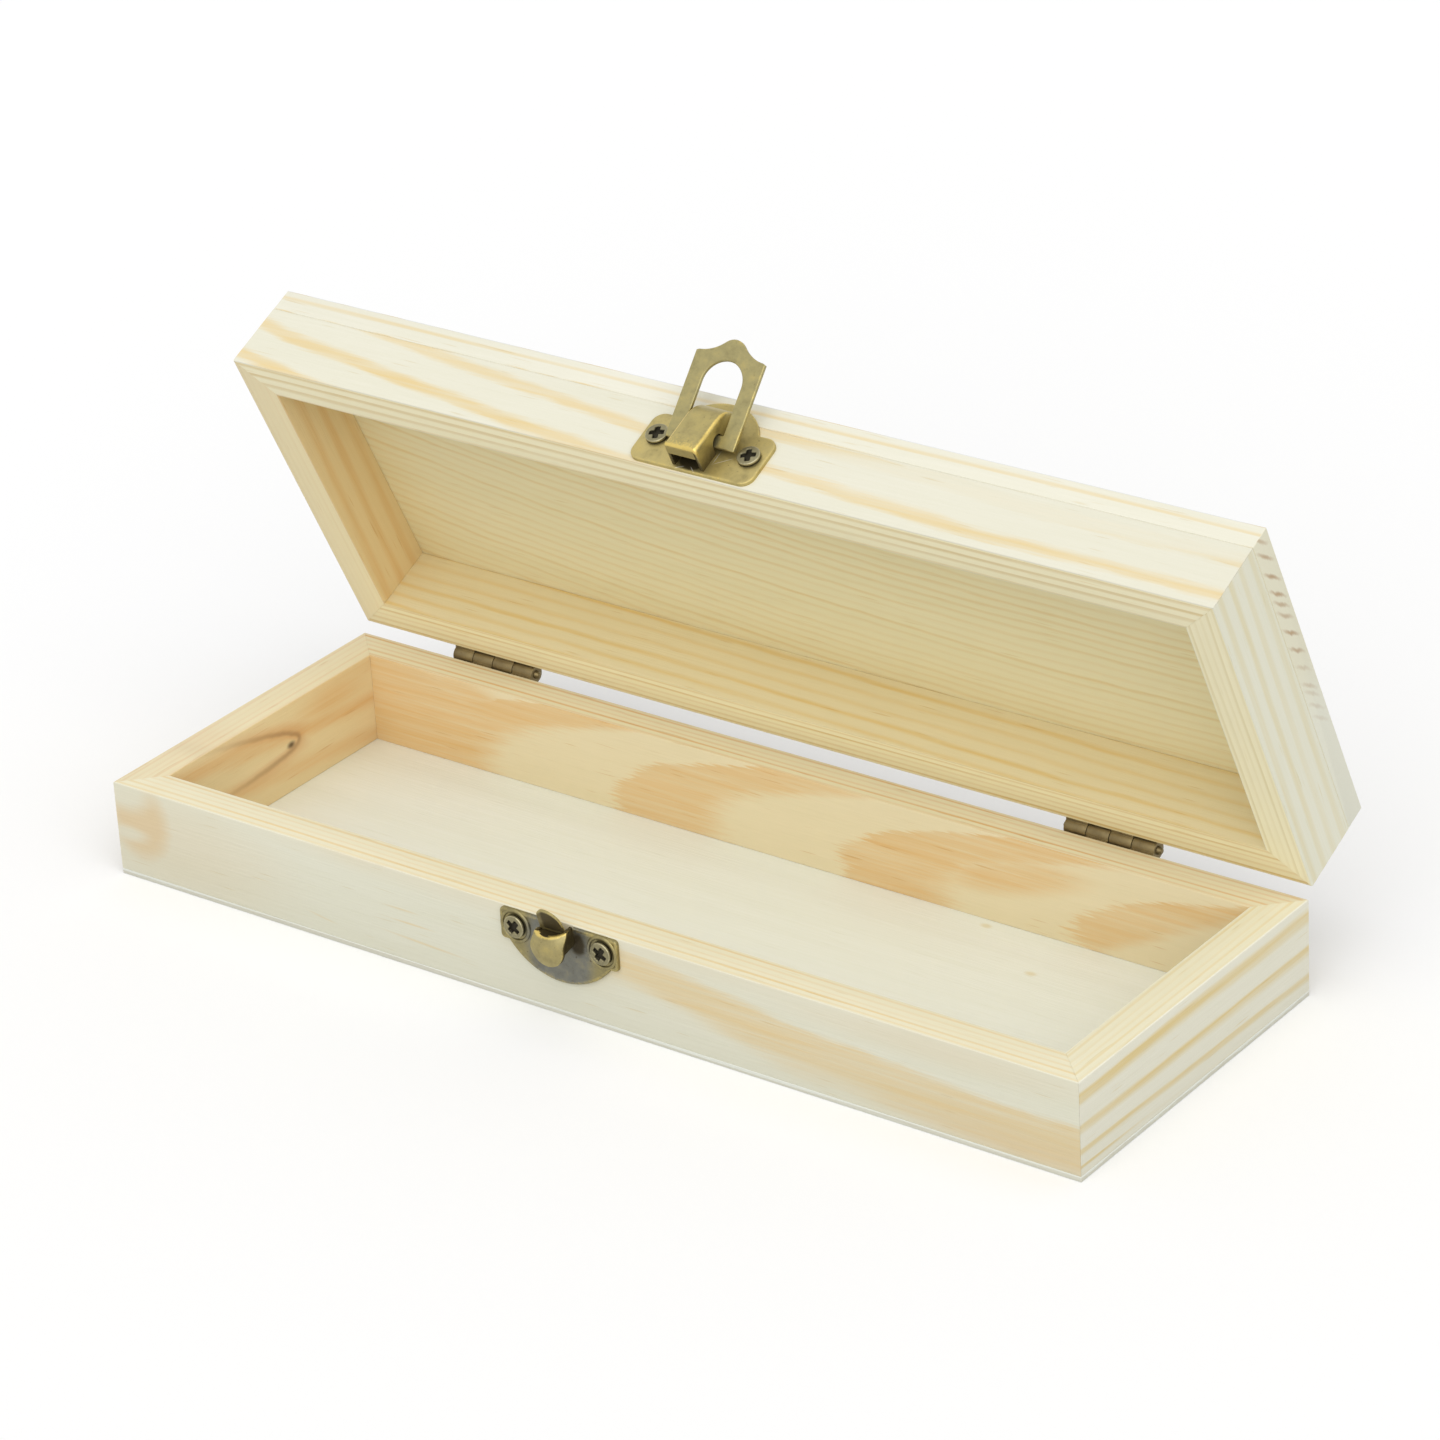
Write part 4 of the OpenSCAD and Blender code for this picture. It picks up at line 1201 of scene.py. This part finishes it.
# The rim and the dome's round edge are brightened: wear from the loop and a painted highlight.
hook_worn = np.maximum(0.9 * from_rim ** 0.5, np.clip(spread * 4 - 3.4, 0, 0.45))
print("hook stands out", round(hook_out.max(), 2), "mm")

# %% Walls and shelf of the hook
# The walls and the shelf are painted dark: painted shade inside the hook.
WALL_LOW, WALL_RISE, WALL_IN, WALL_INSET, WALL_BACK, WALL_GRIME = -3.9, 0.9, 0.25, 0.05, 0.15, 0.7
SHELF_UP, SHELF_IN, SHELF_BACK, SHELF_GRIME = -1.0, 0.8, 0.3, 0.85
root_out = PLATE_T - 0.2


def hook_wall(way):
    """One side of the hook: from under its front back to the plate, rising a little on the way."""
    back_share = np.linspace(0, 1, 8)[None]
    top = hook_rim(way)
    up = top + (WALL_LOW + WALL_RISE * back_share - top) * np.linspace(0, 1, 12)[:, None]
    front = hook_reach(way, up)[0] - WALL_BACK
    edge = np.sqrt(HOOK_R ** 2 - np.minimum(up - HOOK_MID, 0) ** 2) * hook_width(up)
    along = HOOK_AT + way * (edge - WALL_INSET - WALL_IN * back_share)
    return surface(along, up, front + (root_out - front) * back_share)


shelf_front = hook_reach(across_share, hook_rim(across_share))[0] - SHELF_BACK
shelf_out = root_out + (shelf_front - root_out) * down_share
shelf_along = HOOK_AT + (HOOK_R - SHELF_IN) * across_share
shelf = surface(shelf_along, SHELF_UP, shelf_out)
# Each sheet of the hook: its outer skin, the step to its inner skin, its wear and painted highlight, and its
# painted shade outside and inside.
hook_sheets = [
    (hook_front, (0, 0, -HOOK_T), hook_worn, 0.0, 1.0),
    (hook_wall(-1), (0.8 * HOOK_T, 0, 0), 0.0, WALL_GRIME, WALL_GRIME),
    (hook_wall(1), (-0.8 * HOOK_T, 0, 0), 0.0, WALL_GRIME, WALL_GRIME),
    (shelf, (0, -HOOK_T, 0), 0.0, SHELF_GRIME, SHELF_GRIME),
]
worn_marks = [skin_marks(worn + 0 * skin[..., 0], 0.0) for skin, _, worn, _, _ in hook_sheets]
grime_marks = [skin_marks(outer + 0 * skin[..., 0], inner) for skin, _, _, outer, inner in hook_sheets]
latch_piece("keeper_hook", join([between(skin, skin + step) for skin, step, *_ in hook_sheets]),
            "tray", "keeper_brass", hook_brass,
            worn=np.concatenate(worn_marks), grime=np.concatenate(grime_marks))

# %% Guide flap
FLAP_HALF, FLAP_L, FLAP_LEAN, FLAP_LOW, FLAP_OUT, FLAP_T = 2.4, 4.7, np.radians(16), -1.2, 1.6, 0.42
FLAP_TIP, FLAP_FALL_LEFT, FLAP_FALL_RIGHT, FLAP_FLARE = -0.35, 0.3, 0.55, 0.7
FLAP_CREASE, FLAP_CREASE_W = 0.75, 0.2
# The flap is a flat sheet that leans out. From a tip left of its middle, its end falls off on two ellipses.
lean_up, lean_out = np.cos(FLAP_LEAN), np.sin(FLAP_LEAN)
on_left = across_share < FLAP_TIP
toward = np.where(on_left, 1 + FLAP_TIP, 1 - FLAP_TIP)
fall = np.where(on_left, FLAP_FALL_LEFT, FLAP_FALL_RIGHT)
bend = ALMOST * (across_share - FLAP_TIP) / toward
flap_end = FLAP_L * (1 - fall * (1 - np.sqrt(1 - bend ** 2)))
flap_share = np.linspace(0, 1, 15)[:, None]
flap_run = flap_end * flap_share
flap_side = FLAP_HALF * across_share + FLAP_FLARE * np.clip(across_share, 0, 1) * (1 - flap_share)
flap_back = surface(flap_side, FLAP_LOW + flap_run * lean_up, FLAP_OUT + flap_run * lean_out)
flap_edge = np.clip(flap_run / flap_end * 8 - 7, 0, 1)
# The face that looks out is painted dark, a painted shadow, half as dark left of its tip and clear on its end
# and crease.
flap_dark = 1 - 0.5 * ramp((FLAP_TIP - across_share) / 0.4)
crease = bell(flap_run, FLAP_CREASE, FLAP_CREASE_W)
front_worn = np.maximum(flap_edge * 0.3, crease * 0.5)
front_grime = flap_dark * (1 - np.maximum(flap_edge, crease))
latch_piece("keeper_flap", between(flap_back, flap_back + np.array([0, -lean_out, lean_up]) * FLAP_T),
            "tray", "keeper_brass", hook_brass,
            worn=np.concatenate([flap_edge.ravel() * 0.3, front_worn.ravel()]),
            grime=np.concatenate([0 * flap_edge.ravel(), front_grime.ravel()]))

# %% [markdown]
# ## Screws
# Small cross-head screws hold the fittings. A head is a low disc, slightly domed, with a pressed cross. It
# is turned from wire, so the shape is a profile spun round an axis. A Boolean could cut the cross, but a
# dent in the spun surface keeps the sloping sides that a press leaves.

# %% Screws of the latch
SCREW_FILM, SCREW_BRIGHT = paint(141, 134, 103), paint(178, 170, 136)
# The dark of a screw's cross is painted shade in its recess.
RECESS_DARK = paint(34, 30, 24)
HEAD_R, HEAD_H, SHANK_R, POINT_R, SCREW_L = 2.05, 0.9, 0.9, 0.02, 6.0
HASP_SCREW_X, HASP_SCREW_V = 9.4, 5.9
# The cross, in shares of the head's radius, and its depth in shares of the head's height.
ARM_HALF, ARM_TAPER, ARM_SIDE, ARM_L, ARM_END, ARM_DEPTH = 0.28, 0.06, 0.07, 0.68, 0.09, 0.6
SHANK_ROWS, SIDE_ROWS = 5, 9


def spun_screw(turn, count=64):
    """A profile spun round the screw's axis, from its point to the middle of its head, with a cross-shaped
    dent: the dent is deep where a point lies near either arm of the cross and inside its length."""
    fall = np.linspace(1, 0, 26)
    edge = np.linspace(0.4, np.pi / 2, 4)
    radius = np.concatenate([[POINT_R, SHANK_R, SHANK_R], HEAD_R * np.array([0.9, 1, 1]),
                             HEAD_R * (0.9 + 0.1 * np.cos(edge)), HEAD_R * 0.89 * fall])[:, None]
    lift = np.concatenate([[-SCREW_L, 2 * SHANK_R - SCREW_L, 0], HEAD_H * np.array([0, 0.12, 0.65]),
                           HEAD_H * (0.65 + 0.2 * np.sin(edge)), HEAD_H * (1 - 0.15 * fall ** 2)])[:, None]
    angle = np.linspace(0, 2 * np.pi, count, endpoint=False)
    along, over = np.abs(radius * np.cos(angle - turn)), np.abs(radius * np.sin(angle - turn))
    near, far = np.minimum(along, over) / HEAD_R, np.maximum(along, over) / HEAD_R
    arm = np.clip((ARM_HALF - ARM_TAPER * far - near) / ARM_SIDE, 0, 1)
    arm *= np.clip((ARM_L - far) / ARM_END, 0, 1)
    arm[:SIDE_ROWS] = 0
    spun = surface(radius * np.cos(angle), radius * np.sin(angle), lift - ARM_DEPTH * HEAD_H * arm)
    worn = np.clip((radius / HEAD_R - 0.8) * 4, 0, 0.7) * (1 - arm)
    worn[:SHANK_ROWS] = 0
    # The cross is painted dark, painted shade in the recess, and the shank is all dark where it is hidden.
    grime = np.clip(arm * 1.6, 0, 1)
    grime[:SHANK_ROWS] = 1
    return spun, worn.ravel(), grime.ravel()


latch_screw_metal = brass_material("latch_screw_metal", "tray", SCREW_FILM, SCREW_BRIGHT, RECESS_DARK, 0.4)
hasp_screw_at = (HASP_SCREW_X, HASP_SCREW_V, PLATE_T)
keeper_screw_at = (KEEPER_SCREW_X, KEEPER_SCREW_V, FIELD_T)
for fitting, body, at, turns in (("hasp", "lid", hasp_screw_at, (18, 22)),
                                 ("keeper", "tray", keeper_screw_at, (52, 58))):
    grids, worn, grime = zip(*[spun_screw(np.radians(turn)) for turn in turns])
    heads = [tube(grid + np.array(at) * [way, 1, 1]) for grid, way in zip(grids, (-1, 1))]
    latch_piece(fitting + "_screw_heads", join(heads), body, "screw_metal", latch_screw_metal,
                fitting + "_screws", worn=np.concatenate(worn), grime=np.concatenate(grime))

# %% [markdown]
# ## Hinges
# The two butt hinges are rolled from sheet round a pin. They could be drawn anew, but their construction is
# already exact. So each leaf and pin is a copy of its node with the sharp edges broken, and a darker film
# than the latch.

# %% Hinge leaves, pins and small screws
HINGE_EASE, SCREW_EASE = 0.1, 0.06
DOUBLES, FLAT_ANGLE, SHARP_ANGLE = 0.005, np.radians(1), np.radians(40)


def eased_copy(name, node, body, slot, material, width):
    """A copy of a node: doubled corners merged, flat areas made one face, and sharp edges broken."""
    build = bmesh.new()
    build.from_mesh(nodes[node].data)
    bmesh.ops.remove_doubles(build, verts=build.verts, dist=DOUBLES * MM)
    bmesh.ops.dissolve_limit(build, angle_limit=FLAT_ANGLE, verts=build.verts, edges=build.edges)
    folds = [edge for edge in build.edges if len(edge.link_faces) == 2]
    sharp = [edge for edge in folds if edge.calc_face_angle() > SHARP_ANGLE]
    bmesh.ops.bevel(build, geom=sharp, offset=width * MM, segments=2, profile=0.5, affect="EDGES",
                    clamp_overlap=True)
    mesh = bpy.data.meshes.new(name)
    build.to_mesh(mesh)
    build.free()
    add_piece(name, mesh, body, slot, material, node)
    print(name, "points:", len(mesh.vertices))


hinge_at = (0, half_w)
hinge_brass = brass_material(
    "hinge_brass", "tray", paint(128, 113, 79), paint(166, 148, 100), paint(58, 48, 34), 0.45, hinge_at)
small_screw_metal = brass_material(
    "small_screw_metal", "tray", paint(140, 126, 90), SCREW_BRIGHT, RECESS_DARK, at=hinge_at)
for side in ("left", "right"):
    for part, body in (("_hinge_tray_leaf", "tray"), ("_hinge_lid_leaf", "lid"), ("_hinge_pin", "tray")):
        eased_copy(side + part + "_metal", side + part, body, "hinge_brass", hinge_brass, HINGE_EASE)
for body in ("tray", "lid"):
    node = body + "_hinge_screws"
    eased_copy(body + "_hinge_screw_heads", node, body, "screw_metal", small_screw_metal, SCREW_EASE)

# %% [markdown]
# ## The finished size
# The last cell measures the dressed case beside its construction and prints both boxes.

# %% Print the two boxes and finish
visual_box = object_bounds()
sizes = {"cad": [list(corner) for corner in cad_box], "visual": [list(corner) for corner in visual_box]}
print("cad box", sizes["cad"], "visual box", sizes["visual"])
